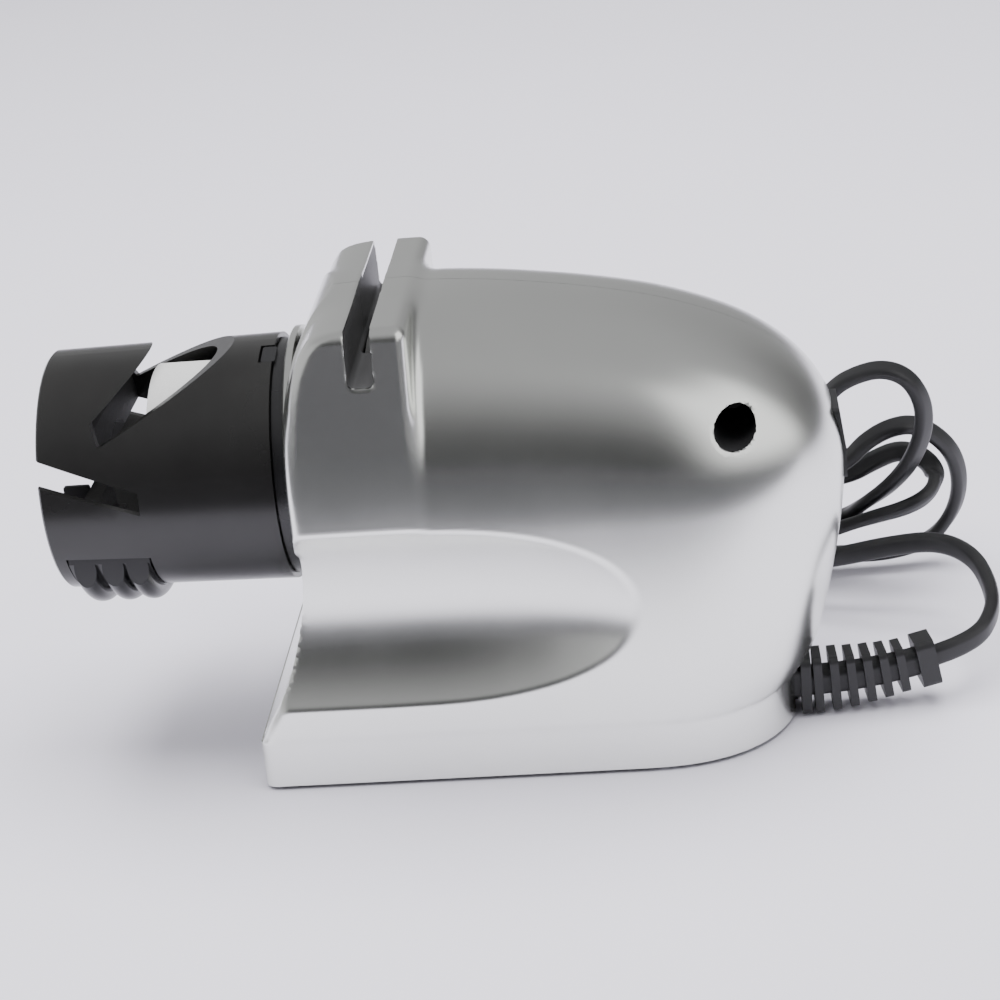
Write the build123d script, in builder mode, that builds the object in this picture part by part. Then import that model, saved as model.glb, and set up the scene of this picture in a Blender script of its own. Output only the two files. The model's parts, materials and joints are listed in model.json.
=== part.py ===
from build123d import *
import math
import os

os.makedirs("parts", exist_ok=True)

# Electric knife sharpener. Millimetres. X runs from the guide collar at the front (-X) to the
# cord at the rear (+X), Z is up, and Y = 0 is the seam between the two housing halves.
# The origin is on the floor, under the middle of the machine's length.

# ---------------------------------------------------------------- driving dimensions
axis_z = 67.0            # height of the wheel and collar axis
front_x = -32.0          # front face of the housing, behind the nose bezel
tail_x = 89.5            # rearmost point of the housing
straight_x = 40.0        # where the sides start to round into the tail
half_w = 38.4            # half width of the housing
floor_gap = 1.0          # gap under the lower edge
widest_z = 62.0          # height of the widest section
body_top = 107.1
wall = 2.4
tail_n = 2.4             # squareness of the tail seen from above
arch_n = 2.3             # squareness of the upper cross-section
ledge = 0.3              # the upper body is this much slimmer where it meets the lower one

plinth_h = 12.0
plinth_tail_x = 77.0
plinth_half_w = 38.2

# side profile of the front edge and the tail, from the plinth up to the widest section
level_z = [12.0, 17.0, 23.0, 31.0, 39.0, 48.0, 56.0, 62.0]
level_front = [-45.6, -43.0, -39.5, -36.4, -34.2, -32.6, -32.0, -32.0]
level_tail = [77.7, 81.2, 83.4, 85.4, 87.2, 88.7, 89.4, 89.5]
level_w = [38.3, 38.3, 38.3, 38.3, 38.3, 38.4, 38.4, 38.4]
corner_r = 3.0

# top line of the housing along the seam
top_x = [0.0, 8.0, 16.0, 24.0, 32.0, 40.0, 48.0, 56.0, 63.0, 69.0, 74.5, 79.0, 82.8, 85.8, 87.8, 89.1]
top_z = [107.1, 106.6, 105.8, 104.7, 103.45, 101.9, 100.0, 97.6, 94.9, 92.0, 88.5, 84.7, 80.4, 75.7, 71.1, 66.2]

tower_top = 107.5
tower_rear = -3.5
tower_top_half = 33.6
tower_foot_half = 37.9
tower_foot_z = 74.0
tower_edge_r = 3.4

slot_x0, slot_x1 = -16.8, -11.1      # knife slot across the tower
slot_floor = 95.0
slot_corner_r = 1.5
slot_wall = 2.2

scoop_r = 33.0           # side scoop: a turned hollow with its axis outside the housing
scoop_y = 64.0
scoop_z = 41.0

eye_x, eye_z, eye_r = 65.0, 78.8, 4.5

collar_front, collar_rear = -90.0, -37.0
collar_r_front, collar_r_rear = 27.7, 28.5
collar_bore = 26.2
sleeve_r, sleeve_bore = 24.8, 23.6
wheel_r = 23.0
wheel_x0, wheel_x1 = -66.0, -40.0
slot_wheel_r = 28.0
slot_wheel_x0, slot_wheel_x1 = -16.0, -11.9
shaft_r = 3.0
motor_r = 18.0
motor_x0, motor_x1 = 11.0, 50.0

shaft_front = -73.5
relief_x, relief_y, relief_z = 77.0, -12.0, 7.6
relief_arc_r, relief_arc_deg, relief_roll_deg = 117.6, 15.3, 41.2
cord_d = 5.0                         # width of the flat twin cord
lean_deg = 15.0                      # the folded cord leans against the machine


def tail_points(w, x_tail, n=15):
    """Points of a rounded tail from (straight_x, -w) round (x_tail, 0) to (straight_x, w)."""
    pts = []
    for i in range(n):
        t = -math.pi / 2 + math.pi * i / (n - 1)
        c, s = abs(math.cos(t)), abs(math.sin(t))
        x = straight_x + (x_tail - straight_x) * (c ** (2 / tail_n) if c > 1e-9 else 0.0)
        y = math.copysign(w * s ** (2 / tail_n), t)
        pts.append((x, y))
    return pts


def tail_half_width(x, w, x_tail):
    if x <= straight_x:
        return w
    u = min(1.0, (x - straight_x) / (x_tail - straight_x))
    return w * (1 - u ** tail_n) ** (1 / tail_n)


def arch_points(w, h, z0, n=13):
    """Points of an arch from (-w, z0) over (0, z0 + h) to (w, z0)."""
    pts = []
    for i in range(n):
        t = math.pi - math.pi * i / (n - 1)
        c, s = math.cos(t), max(0.0, math.sin(t))
        pts.append((math.copysign(w * abs(c) ** (2 / arch_n), c), z0 + h * s ** (2 / arch_n)))
    pts[0], pts[-1] = (-w, z0), (w, z0)
    return pts


def outline(w, xf, xt, r):
    """The edges of a D-shaped outline with rounded front corners."""
    k = r * (1 - math.sqrt(0.5))
    Line((xf, -w + r), (xf, w - r))
    ThreePointArc((xf, w - r), (xf + k, w - k), (xf + r, w))
    Line((xf + r, w), (straight_x, w))
    Spline(tail_points(w, xt)[::-1], tangents=[(1, 0), (-1, 0)])
    Line((straight_x, -w), (xf + r, -w))
    ThreePointArc((xf + r, -w), (xf + k, -w + k), (xf, -w + r))


def yz(x, z=0.0):
    """Sketch plane facing +X: local axes are Y and Z."""
    return Plane(origin=(x, 0, z), x_dir=(0, 1, 0), z_dir=(1, 0, 0))


def xz(y):
    """Sketch plane facing -Y: local axes are X and Z."""
    return Plane(origin=(0, y, 0), x_dir=(1, 0, 0), z_dir=(0, -1, 0))


def top_at(x):
    """Height of the top line at x."""
    if x <= 0:
        return body_top
    for a, b, za, zb in zip(top_x, top_x[1:], top_z, top_z[1:]):
        if x <= b:
            return za + (zb - za) * (x - a) / (b - a)
    return top_z[-1]


# ---------------------------------------------------------------- the outer form
section_x = [-32.0, -24.0, -16.0, -8.0] + top_x
section_z = [body_top] * 4 + top_z

with BuildPart() as outer_low:
    with BuildSketch(Plane.XY.offset(floor_gap)):
        with BuildLine():
            outline(plinth_half_w, -46.0, plinth_tail_x, corner_r)
        make_face()
    extrude(amount=plinth_h - floor_gap)
    for z, xf, xt, w in zip(level_z, level_front, level_tail, level_w):
        with BuildSketch(Plane.XY.offset(z)):
            with BuildLine():
                outline(w, xf, xt, corner_r)
            make_face()
    loft()

with BuildPart() as outer_dome:
    for x, z in zip(section_x, section_z):
        w = tail_half_width(x, half_w, tail_x) - ledge
        with BuildSketch(yz(x)):
            with BuildLine():
                Spline(arch_points(w, z - widest_z, widest_z))
                Polyline((w, widest_z), (w, widest_z - 1), (-w, widest_z - 1), (-w, widest_z))
            make_face()
    loft()

# The tower over the wheels leans back at the front and stands on the sides of the body.
with BuildPart() as outer_tower:
    with BuildSketch(yz(-34.0)):
        with BuildLine():
            FilletPolyline((-tower_foot_half, tower_foot_z), (-tower_top_half, tower_top),
                           (tower_top_half, tower_top), (tower_foot_half, tower_foot_z),
                           radius=tower_edge_r)
            Line((tower_foot_half, tower_foot_z), (-tower_foot_half, tower_foot_z))
        make_face()
    extrude(amount=34.0 + tower_rear)
    with BuildSketch(xz(0)):
        with BuildLine():
            Spline((-32.0, tower_foot_z - 1), (-31.5, 84.0), (-30.4, 92.5), (-28.9, 98.2),
                   (-26.9, 102.6), (-24.7, 105.6), (-21.8, tower_top), tangents=[(0, 1), (1, 0.25)])
            Polyline((-21.8, tower_top), (-21.8, tower_top + 1), (tower_rear, tower_top + 1),
                     (tower_rear, tower_foot_z - 1), (-32.0, tower_foot_z - 1))
        make_face()
    extrude(amount=60, both=True, mode=Mode.INTERSECT)
    rear_corners = [e for e in edges()
                    if abs(e.center().X - tower_rear) < 0.01 and abs((e @ 1 - e @ 0).Z) > 20]
    fillet(rear_corners, radius=2.4)


def scoop_profile(grow):
    """Half profile of the turned side hollow, as (x, radius), with its tip towards the tail."""
    rows = [(-70.0, 33.0), (-30.0, 33.0), (-8.0, 33.0), (2.0, 32.8), (9.0, 32.4), (16.0, 31.7),
            (23.0, 30.7), (29.0, 29.5), (34.5, 28.1), (39.0, 26.6), (43.0, 25.0), (50.0, 21.5)]
    return [(x + (grow if x > 0 else 0), r + grow) for x, r in rows]


with BuildPart() as scoop_tools:
    for side in (-1, 1):
        with BuildSketch(Plane(origin=(0, side * scoop_y, scoop_z), x_dir=(1, 0, 0), z_dir=(0, 0, side))):
            with BuildLine():
                rows = scoop_profile(0.0)
                Line((rows[0][0], 0), rows[0])
                Line(rows[0], rows[2])
                Spline(rows[2:], tangents=[(1, 0), (0.85, -0.53)])
                Polyline(rows[-1], (rows[-1][0], 0), (rows[0][0], 0))
            make_face()
        revolve(axis=Axis((0, side * scoop_y, scoop_z), (1, 0, 0)))

with BuildPart() as scoop_tools_inner:
    for side in (-1, 1):
        with BuildSketch(Plane(origin=(0, side * scoop_y, scoop_z), x_dir=(1, 0, 0), z_dir=(0, 0, side))):
            with BuildLine():
                rows = scoop_profile(wall)
                Line((rows[0][0], 0), rows[0])
                Line(rows[0], rows[2])
                Spline(rows[2:], tangents=[(1, 0), (0.85, -0.53)])
                Polyline(rows[-1], (rows[-1][0], 0), (rows[0][0], 0))
            make_face()
        revolve(axis=Axis((0, side * scoop_y, scoop_z), (1, 0, 0)))

# The knife slot is a straight channel right across the tower.
with BuildPart() as knife_channel:
    with BuildSketch(xz(0)):
        with BuildLine():
            FilletPolyline((slot_x0, 115), (slot_x0, slot_floor), (slot_x1, slot_floor), (slot_x1, 115),
                           radius=slot_corner_r)
            Line((slot_x1, 115), (slot_x0, 115))
        make_face()
    extrude(amount=60, both=True)

# Space in front of the tower's leaning face, which the domed body stays out of.
with BuildPart() as front_space:
    with BuildSketch(xz(0)):
        with BuildLine():
            Spline((-31.8, tower_foot_z + 0.5), (-31.3, 84.0), (-30.2, 92.5), (-28.7, 98.2), (-26.7, 102.6),
                   (-24.5, 105.5), (-21.8, tower_top - 0.1), tangents=[(0, 1), (1, 0.25)])
            Polyline((-21.8, tower_top - 0.1), (-21.8, 116), (-45, 116), (-45, tower_foot_z + 0.5),
                     (-31.8, tower_foot_z + 0.5))
        make_face()
    extrude(amount=60, both=True)

with BuildPart() as inner_front_space:
    with BuildSketch(xz(0)):
        with BuildLine():
            Polyline((-29.4, tower_foot_z + 0.5), (-28.8, 86.0), (-27.4, 94.5), (-24.6, 100.8), (-20.8, 104.5),
                     (-20.8, 116), (-45, 116), (-45, tower_foot_z + 0.5), close=True)
        make_face()
    extrude(amount=60, both=True)

with BuildPart() as outer_form:
    add(outer_dome.part)
    add(front_space.part, mode=Mode.SUBTRACT)
    add(outer_low.part)
    add(outer_tower.part)
    add(scoop_tools.part, mode=Mode.SUBTRACT)
    add(knife_channel.part, mode=Mode.SUBTRACT)

# ---------------------------------------------------------------- the hollow
with BuildPart() as inner_low:
    with BuildSketch(Plane.XY.offset(-1)):
        with BuildLine():
            outline(plinth_half_w - wall, -46.0 + wall, plinth_tail_x - wall, corner_r)
        make_face()
    extrude(amount=plinth_h + 1)
    for z, xf, xt, w in zip(level_z, level_front, level_tail, level_w):
        with BuildSketch(Plane.XY.offset(z)):
            with BuildLine():
                outline(w - wall, xf + wall, xt - wall, corner_r)
            make_face()
    loft()

with BuildPart() as inner_dome:
    k = (tail_x - wall) / tail_x
    for x in [-29.6, -22.0, -15.0, -7.5] + [k * v for v in top_x]:
        w = tail_half_width(x, half_w - wall, tail_x - wall) - ledge
        z = top_at(x / k) - wall
        with BuildSketch(yz(x)):
            with BuildLine():
                Spline(arch_points(w, z - widest_z, widest_z))
                Polyline((w, widest_z), (w, widest_z - 1), (-w, widest_z - 1), (-w, widest_z))
            make_face()
    loft()

with BuildPart() as inner_tower:
    with BuildSketch(yz(-29.6)):
        with BuildLine():
            FilletPolyline((-tower_foot_half + wall, tower_foot_z), (-tower_top_half + wall, tower_top - wall),
                           (tower_top_half - wall, tower_top - wall), (tower_foot_half - wall, tower_foot_z),
                           radius=2.0)
            Line((tower_foot_half - wall, tower_foot_z), (-tower_foot_half + wall, tower_foot_z))
        make_face()
    extrude(amount=29.6 + tower_rear - wall)
    with BuildSketch(xz(0)):
        with BuildLine():
            Polyline((-29.6, tower_foot_z - 1), (-29.0, 86.0), (-27.6, 94.5), (-24.8, 100.8), (-21.0, 104.6),
                     (-21.0, 110), (0, 110), (0, tower_foot_z - 1), close=True)
        make_face()
    extrude(amount=60, both=True, mode=Mode.INTERSECT)

with BuildPart() as inner_form:
    add(inner_dome.part)
    add(inner_front_space.part, mode=Mode.SUBTRACT)
    add(inner_low.part)
    add(inner_tower.part)
    add(scoop_tools_inner.part, mode=Mode.SUBTRACT)
    with BuildSketch(xz(0)):
        with Locations(((slot_x0 + slot_x1) / 2, 105)):
            Rectangle(slot_x1 - slot_x0 + 2 * slot_wall, 2 * (105 - slot_floor + slot_wall))
    extrude(amount=60, both=True, mode=Mode.SUBTRACT)



def turned(x=0.0):
    """Sketch plane through the wheel axis: local axes are X and radius."""
    return Plane(origin=(x, 0, axis_z), x_dir=(1, 0, 0), z_dir=(0, -1, 0))


def radial(theta, radius, x):
    """Sketch plane square to a radius, theta degrees from the top towards -Y: local axes are X and round."""
    a = math.radians(theta)
    d = (0, -math.sin(a), math.cos(a))
    return Plane(origin=(x, radius * d[1], axis_z + radius * d[2]), x_dir=(1, 0, 0), z_dir=d)


wheel_axis = Axis((0, 0, axis_z), (1, 0, 0))

# ---------------------------------------------------------------- housing
panel_pts = [(-35.2, 4.6), (35.2, 4.6), (35.2, 19.5), (28.0, 26.5), (28.0, 35.0),
             (-28.0, 35.0), (-28.0, 26.5), (-35.2, 19.5)]
panel_gap = 0.25

with BuildPart() as skin:
    add(outer_form.part)
    add(inner_form.part, mode=Mode.SUBTRACT)

with BuildPart() as panel_flange:
    with BuildSketch(yz(-60)):
        Polygon(*panel_pts, align=None)
        offset(amount=2.0, kind=Kind.INTERSECTION)
        with Locations((0, 2.3)):
            Rectangle(90, 4.6, mode=Mode.SUBTRACT)
        with Locations((0, 45.3)):
            Rectangle(90, 20.0, mode=Mode.SUBTRACT)
    extrude(amount=32)
    add(inner_form.part, mode=Mode.INTERSECT)
    add(inner_form.part.moved(Location((1.5, 0, 0))), mode=Mode.SUBTRACT)

with BuildPart() as front_panel:
    with BuildSketch(yz(-60)):
        Polygon(*panel_pts, align=None)
        offset(amount=-panel_gap, kind=Kind.INTERSECTION)
    extrude(amount=32)
    add(skin.part, mode=Mode.INTERSECT)
    add(panel_flange.part)
front_panel.part.label = "front_panel"
export_step(front_panel.part, "parts/front_panel.step")

# Two ribs across the hollow carry the motor.
with BuildPart() as motor_ribs:
    with Locations((21.1, 0, 72), (42.1, 0, 72)):
        Box(2.2, 90, 74)
    with BuildSketch(yz(10, axis_z)):
        Circle(motor_r + 0.1)
    extrude(amount=44, mode=Mode.SUBTRACT)
    add(inner_form.part, mode=Mode.INTERSECT)

# A flat ring behind the front face seats the nose.
with BuildPart() as nose_seat:
    with BuildSketch(yz(-32.1, axis_z)):
        Circle(31.5)
    extrude(amount=4.1)
    add(outer_form.part, mode=Mode.INTERSECT)

with BuildPart() as shell:
    add(skin.part)
    add(nose_seat.part)
    add(motor_ribs.part)
    with BuildSketch(yz(-60)):
        Polygon(*panel_pts, align=None)
    extrude(amount=32, mode=Mode.SUBTRACT)
    with BuildSketch(yz(-60, axis_z)):
        Circle(30.1)
    extrude(amount=60 - 32.1, mode=Mode.SUBTRACT)
    with BuildSketch(yz(-60, axis_z)):
        Circle(sleeve_r + 0.05)
    extrude(amount=34, mode=Mode.SUBTRACT)
    with BuildSketch(yz(-28.0, axis_z)):
        Circle(28.6)
    extrude(amount=2.3, mode=Mode.SUBTRACT)
    # slit in the channel floor for the crown of the slot wheel
    with BuildSketch(Plane.XY.offset(90)):
        with Locations(((slot_x0 + slot_x1) / 2, 0)):
            RectangleRounded(slot_x1 - slot_x0 - 0.8, 25.0, 1.0)
    extrude(amount=8, mode=Mode.SUBTRACT)
    # opening for the switch body
    with BuildSketch(yz(80, 64)):
        Rectangle(11.7, 14.9)
    extrude(amount=15, mode=Mode.SUBTRACT)

base_posts = [(-31.0, 32.0), (60.0, 27.6)]
base_z0, base_t = 1.8, 2.4
post_z = base_z0 + base_t
eye_floor_y = 8.0

with BuildPart() as left_bosses:
    with BuildSketch(xz(0)):
        with Locations((eye_x, eye_z)):
            Circle(6.4)
    extrude(amount=40)
    with BuildSketch(Plane.XY.offset(post_z)):
        with Locations(*[(px, -py) for px, py in base_posts]):
            Circle(4.6)
    extrude(amount=11)
    add(inner_form.part, mode=Mode.INTERSECT)

with BuildPart() as housing_left:
    add(shell.part)
    split(bisect_by=Plane.XZ, keep=Keep.TOP)
    add(left_bosses.part)
    with BuildSketch(xz(eye_floor_y * -1)):
        with Locations((eye_x, eye_z)):
            Circle(eye_r)
    extrude(amount=40, mode=Mode.SUBTRACT)
    with BuildSketch(xz(0)):
        with Locations((eye_x, eye_z)):
            Circle(1.5)
    extrude(amount=10, mode=Mode.SUBTRACT)
    with BuildSketch(Plane.XY.offset(post_z)):
        with Locations(*[(px, -py) for px, py in base_posts]):
            Circle(1.5)
    extrude(amount=9.0, mode=Mode.SUBTRACT)
    # slot for the neck of the strain relief, open to the base plate
    with BuildSketch(yz(66)):
        with Locations((relief_y, 5.8)):
            Rectangle(6.2, 11.8)
    extrude(amount=16, mode=Mode.SUBTRACT)
housing_left.part.label = "housing_left"
export_step(housing_left.part, "parts/housing_left.step")

with BuildPart() as right_bosses:
    with BuildSketch(xz(26)):
        with Locations((eye_x, eye_z)):
            Circle(4.6)
    extrude(amount=26)
    with BuildSketch(xz(60)):
        with Locations((eye_x, eye_z)):
            Rectangle(2.0, 14.0)
    extrude(amount=45)
    with BuildSketch(Plane.XY.offset(post_z)):
        with Locations(*base_posts):
            Circle(4.6)
    extrude(amount=11)
    add(inner_form.part, mode=Mode.INTERSECT)

with BuildPart() as housing_right:
    add(shell.part)
    split(bisect_by=Plane.XZ, keep=Keep.BOTTOM)
    add(right_bosses.part)
    with BuildSketch(xz(18)):
        with Locations((eye_x, eye_z)):
            Circle(1.5)
    extrude(amount=18, mode=Mode.SUBTRACT)
    with BuildSketch(Plane.XY.offset(post_z)):
        with Locations(*base_posts):
            Circle(1.5)
    extrude(amount=9.0, mode=Mode.SUBTRACT)
housing_right.part.label = "housing_right"
export_step(housing_right.part, "parts/housing_right.step")

with BuildPart() as housing_screw:
    with BuildSketch(xz(-eye_floor_y)):
        with Locations((eye_x, eye_z)):
            Circle(3.2)
    extrude(amount=2.2)
    with BuildSketch(xz(-eye_floor_y)):
        with Locations((eye_x, eye_z)):
            Circle(1.5)
    extrude(amount=-24)
    with BuildSketch(xz(-eye_floor_y - 2.2)):
        with Locations((eye_x, eye_z)):
            Rectangle(4.0, 0.9)
            Rectangle(0.9, 4.0)
    extrude(amount=-1.2, mode=Mode.SUBTRACT)
housing_screw.part.label = "housing_screw"
export_step(housing_screw.part, "parts/housing_screw.step")

# ---------------------------------------------------------------- base
foot_spots = [(-33.0, -20.0), (-33.0, 20.0), (54.0, -17.0), (54.0, 17.0)]
post_spots = [(px, s * py) for px, py in base_posts for s in (-1, 1)]
board_posts = [(12.0, -14.0), (12.0, 14.0), (44.0, -14.0), (44.0, 14.0)]
board_z = 14.0
clamp_x = 58.0

with BuildPart() as base_plate:
    with BuildSketch(Plane.XY.offset(base_z0)):
        with BuildLine():
            outline(plinth_half_w - wall - 0.2, -46.0 + wall + 0.2, plinth_tail_x - wall - 0.2, corner_r)
        make_face()
    extrude(amount=base_t)
    with BuildSketch(Plane.XY.offset(post_z)):
        with Locations(*board_posts):
            Circle(2.6)
    extrude(amount=board_z - post_z)
    # block under the cord clamp
    with Locations((clamp_x, relief_y, post_z + 0.85)):
        Box(7.0, 20.0, 1.7)
    with BuildSketch(Plane.XY):
        with Locations(*post_spots):
            Circle(1.55)
    extrude(amount=6, mode=Mode.SUBTRACT)
    with BuildSketch(Plane.XY):
        with Locations(*post_spots):
            Circle(3.0)
    extrude(amount=base_z0 + 1.3, mode=Mode.SUBTRACT)
    with BuildSketch(Plane.XY):
        with Locations(*foot_spots):
            Circle(5.0)
    extrude(amount=base_z0 + 0.8, mode=Mode.SUBTRACT)
    with BuildSketch(Plane.XY.offset(base_z0 + 0.8)):
        with Locations((clamp_x, relief_y - 7.0), (clamp_x, relief_y + 7.0)):
            Circle(1.0)
    extrude(amount=10, mode=Mode.SUBTRACT)
    with BuildSketch(Plane.XY.offset(post_z + 3)):
        with Locations(*board_posts):
            Circle(1.0)
    extrude(amount=10, mode=Mode.SUBTRACT)
base_plate.part.label = "base_plate"
export_step(base_plate.part, "parts/base_plate.step")

with BuildPart() as base_screws:
    with BuildSketch(Plane.XY.offset(base_z0 + 0.1)):
        with Locations(*post_spots):
            Circle(2.9)
    extrude(amount=1.2)
    with BuildSketch(Plane.XY.offset(base_z0 + 0.1)):
        with Locations(*post_spots):
            Circle(1.5)
    extrude(amount=10.5)
    with BuildSketch(Plane.XY.offset(base_z0 + 0.1)):
        with Locations(*post_spots):
            Rectangle(3.4, 0.8)
        with Locations(*post_spots):
            Rectangle(0.8, 3.4)
    extrude(amount=0.8, mode=Mode.SUBTRACT)
base_screws.part.label = "base_screws"
export_step(base_screws.part, "parts/base_screws.step")

with BuildPart() as rubber_feet:
    with BuildSketch(Plane.XY):
        with Locations(*foot_spots):
            Circle(5.0)
    extrude(amount=base_z0 + 0.8)
    chamfer(faces().filter_by(Axis.Z).group_by(Axis.Z)[0].edges(), length=0.5)
rubber_feet.part.label = "rubber_feet"
export_step(rubber_feet.part, "parts/rubber_feet.step")

# ---------------------------------------------------------------- nose
sleeve_pts = [(-44.0, sleeve_bore), (-44.0, sleeve_r), (-33.9, sleeve_r), (-33.9, 29.3), (-33.5, 29.8),
              (-32.1, 29.8), (-32.1, sleeve_r), (-28.0, sleeve_r), (-28.0, 28.5), (-25.8, 28.5),
              (-25.8, sleeve_bore), (-27.8, sleeve_bore), (-27.8, 9.0), (-24.0, 9.0), (-24.0, 6.0),
              (-34.0, 6.0), (-34.0, 9.0), (-30.2, 9.0), (-30.2, sleeve_bore)]
with BuildPart() as nose_sleeve:
    with BuildSketch(turned()):
        Polygon(*sleeve_pts, align=None)
    revolve(axis=wheel_axis)
    with BuildSketch(yz(-36, axis_z)):
        with PolarLocations(16.2, 6):
            Circle(4.2)
    extrude(amount=10, mode=Mode.SUBTRACT)
nose_sleeve.part.label = "nose_sleeve"
export_step(nose_sleeve.part, "parts/nose_sleeve.step")

with BuildPart() as front_bushing:
    with BuildSketch(yz(-34.0, axis_z)):
        Circle(6.0)
        Circle(shaft_r + 0.05, mode=Mode.SUBTRACT)
    extrude(amount=10.0)
front_bushing.part.label = "front_bushing"
export_step(front_bushing.part, "parts/front_bushing.step")

key_theta = 14.0
skirt_r = 26.1
with BuildPart() as index_ring:
    with BuildSketch(turned()):
        Polygon((-43.0, sleeve_r + 0.06), (-43.0, skirt_r - 0.4), (-42.6, skirt_r), (collar_rear + 0.3, skirt_r),
                (collar_rear + 0.3, 27.3), (-34.2, 27.3), (-34.2, sleeve_r + 0.06), align=None)
    revolve(axis=wheel_axis)
    with BuildSketch(radial(key_theta, 25.6, -36.4)):
        with Locations((-1.6, 0)):
            RectangleRounded(3.2, 6.0, 0.6)
    extrude(amount=2.5)
index_ring.part.label = "index_ring"
export_step(index_ring.part, "parts/index_ring.step")

# ---------------------------------------------------------------- guide collar
latch_y0, latch_y1 = -24.4, 1.4
latch_x0, latch_x1 = -86.6, -68.0
latch_mid = ((latch_x0 + latch_x1) / 2, (latch_y0 + latch_y1) / 2)
spring_seat_z = 59.0

with BuildPart() as guide_collar:
    with BuildSketch(turned()):
        Polygon((collar_front, collar_bore), (collar_front, collar_r_front - 0.5),
                (collar_front + 0.5, collar_r_front), (collar_rear, collar_r_rear),
                (collar_rear, collar_bore), align=None)
    revolve(axis=wheel_axis)
    # guide wall inside, open round the shaft end, with a seat for the latch spring
    with BuildSketch(yz(-80.0)):
        with Locations((0, axis_z)):
            Circle(collar_bore + 0.6)
            Circle(11.0, mode=Mode.SUBTRACT)
        with Locations((0, 29.0)):
            Rectangle(70, 60, mode=Mode.SUBTRACT)
    extrude(amount=3.0)
    with Locations((-78.5, -12.0, spring_seat_z + 1.0)):
        Box(6.4, 6.4, 2.0)
    # V slot for a plain blade
    with BuildSketch(xz(0)):
        Polygon((-77.6, 85.4), (-75.7, 80.7), (-41.0, 98.4), (-62.3, 98.4), align=None)
    extrude(amount=40, both=True, mode=Mode.SUBTRACT)
    # inclined slot for a serrated blade, open at the front rim
    with BuildSketch(xz(0)):
        Polygon((-93.0, 80.1), (-93.0, 74.3), (-67.6, 65.6), (-67.6, 70.9), align=None)
    extrude(amount=40, both=True, mode=Mode.SUBTRACT)
    # window for the latch
    with BuildSketch(Plane.XY.offset(30)):
        with Locations(latch_mid):
            Rectangle(latch_x1 - latch_x0 + 0.8, latch_y1 - latch_y0 + 0.8)
    extrude(amount=28.8, mode=Mode.SUBTRACT)
    # notch for the key of the index ring
    with BuildSketch(radial(key_theta, 24.0, collar_rear)):
        Rectangle(6.2, 6.7)
    extrude(amount=8, mode=Mode.SUBTRACT)
guide_collar.part.label = "guide_collar"
export_step(guide_collar.part, "parts/guide_collar.step")

ridge_x = [-83.1, -76.7, -71.0]
spring_xy = (-78.5, -12.0)
spring_z0, spring_z1 = 47.6, 59.0
with BuildPart() as latch_flange:
    with BuildSketch(turned()):
        Polygon((latch_x0 - 1.6, 24.2), (latch_x0 - 1.6, 25.85), (latch_x1 + 1.2, 25.85), (latch_x1 + 1.2, 24.2),
                align=None)
    revolve(axis=wheel_axis)
    with BuildSketch(Plane.XY.offset(30)):
        with Locations(latch_mid):
            Rectangle(latch_x1 - latch_x0 + 8, latch_y1 - latch_y0 + 2.4)
    extrude(amount=27.0, mode=Mode.INTERSECT)

with BuildPart() as latch_button:
    with BuildSketch(turned()):
        Polygon((latch_x0, 25.0), (latch_x0, 28.1), (latch_x1, 28.3), (latch_x1, 25.0), align=None)
        with Locations(*[(x, 28.9) for x in ridge_x]):
            Circle(2.5)
    revolve(axis=wheel_axis)
    with BuildSketch(Plane.XY.offset(30)):
        with Locations(latch_mid):
            Rectangle(latch_x1 - latch_x0, latch_y1 - latch_y0)
    extrude(amount=27.0, mode=Mode.INTERSECT)
    add(latch_flange.part)
    # pad that the spring stands on
    with BuildSketch(Plane.XY.offset(42.2)):
        with Locations(spring_xy):
            Circle(2.8)
    extrude(amount=spring_z0 - 0.05 - 42.2)
latch_button.part.label = "latch_button"
export_step(latch_button.part, "parts/latch_button.step")

with BuildPart() as latch_spring:
    with BuildLine():
        Helix(pitch=2.2, height=spring_z1 - spring_z0 - 1.2, radius=1.9, center=(*spring_xy, spring_z0 + 0.6))
    with BuildSketch(Plane(origin=(spring_xy[0] + 1.9, spring_xy[1], spring_z0 + 0.6), z_dir=(0, 1, 0.18))):
        Circle(0.3)
    sweep(is_frenet=True)
    for z in (spring_z0, spring_z1 - 0.7):
        with BuildSketch(Plane.XY.offset(z)):
            with Locations(spring_xy):
                Circle(2.2)
                Circle(1.5, mode=Mode.SUBTRACT)
        extrude(amount=0.7)
latch_spring.part.label = "latch_spring"
export_step(latch_spring.part, "parts/latch_spring.step")

# ---------------------------------------------------------------- rotor
with BuildPart() as motor_shaft:
    with BuildSketch(yz(shaft_front, axis_z)):
        Circle(shaft_r)
    extrude(amount=57.0 - shaft_front)
    chamfer(edges().group_by(Axis.X)[0] + edges().group_by(Axis.X)[-1], length=0.5)
motor_shaft.part.label = "motor_shaft"
export_step(motor_shaft.part, "parts/motor_shaft.step")

with BuildPart() as front_wheel:
    with BuildSketch(yz(wheel_x0, axis_z)):
        Circle(wheel_r)
        Circle(shaft_r, mode=Mode.SUBTRACT)
    extrude(amount=wheel_x1 - wheel_x0)
front_wheel.part.label = "front_wheel"
export_step(front_wheel.part, "parts/front_wheel.step")

with BuildPart() as slot_wheel:
    with BuildSketch(yz(slot_wheel_x0, axis_z)):
        Circle(slot_wheel_r)
        Circle(shaft_r, mode=Mode.SUBTRACT)
    extrude(amount=slot_wheel_x1 - slot_wheel_x0)
slot_wheel.part.label = "slot_wheel"
export_step(slot_wheel.part, "parts/slot_wheel.step")

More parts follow.
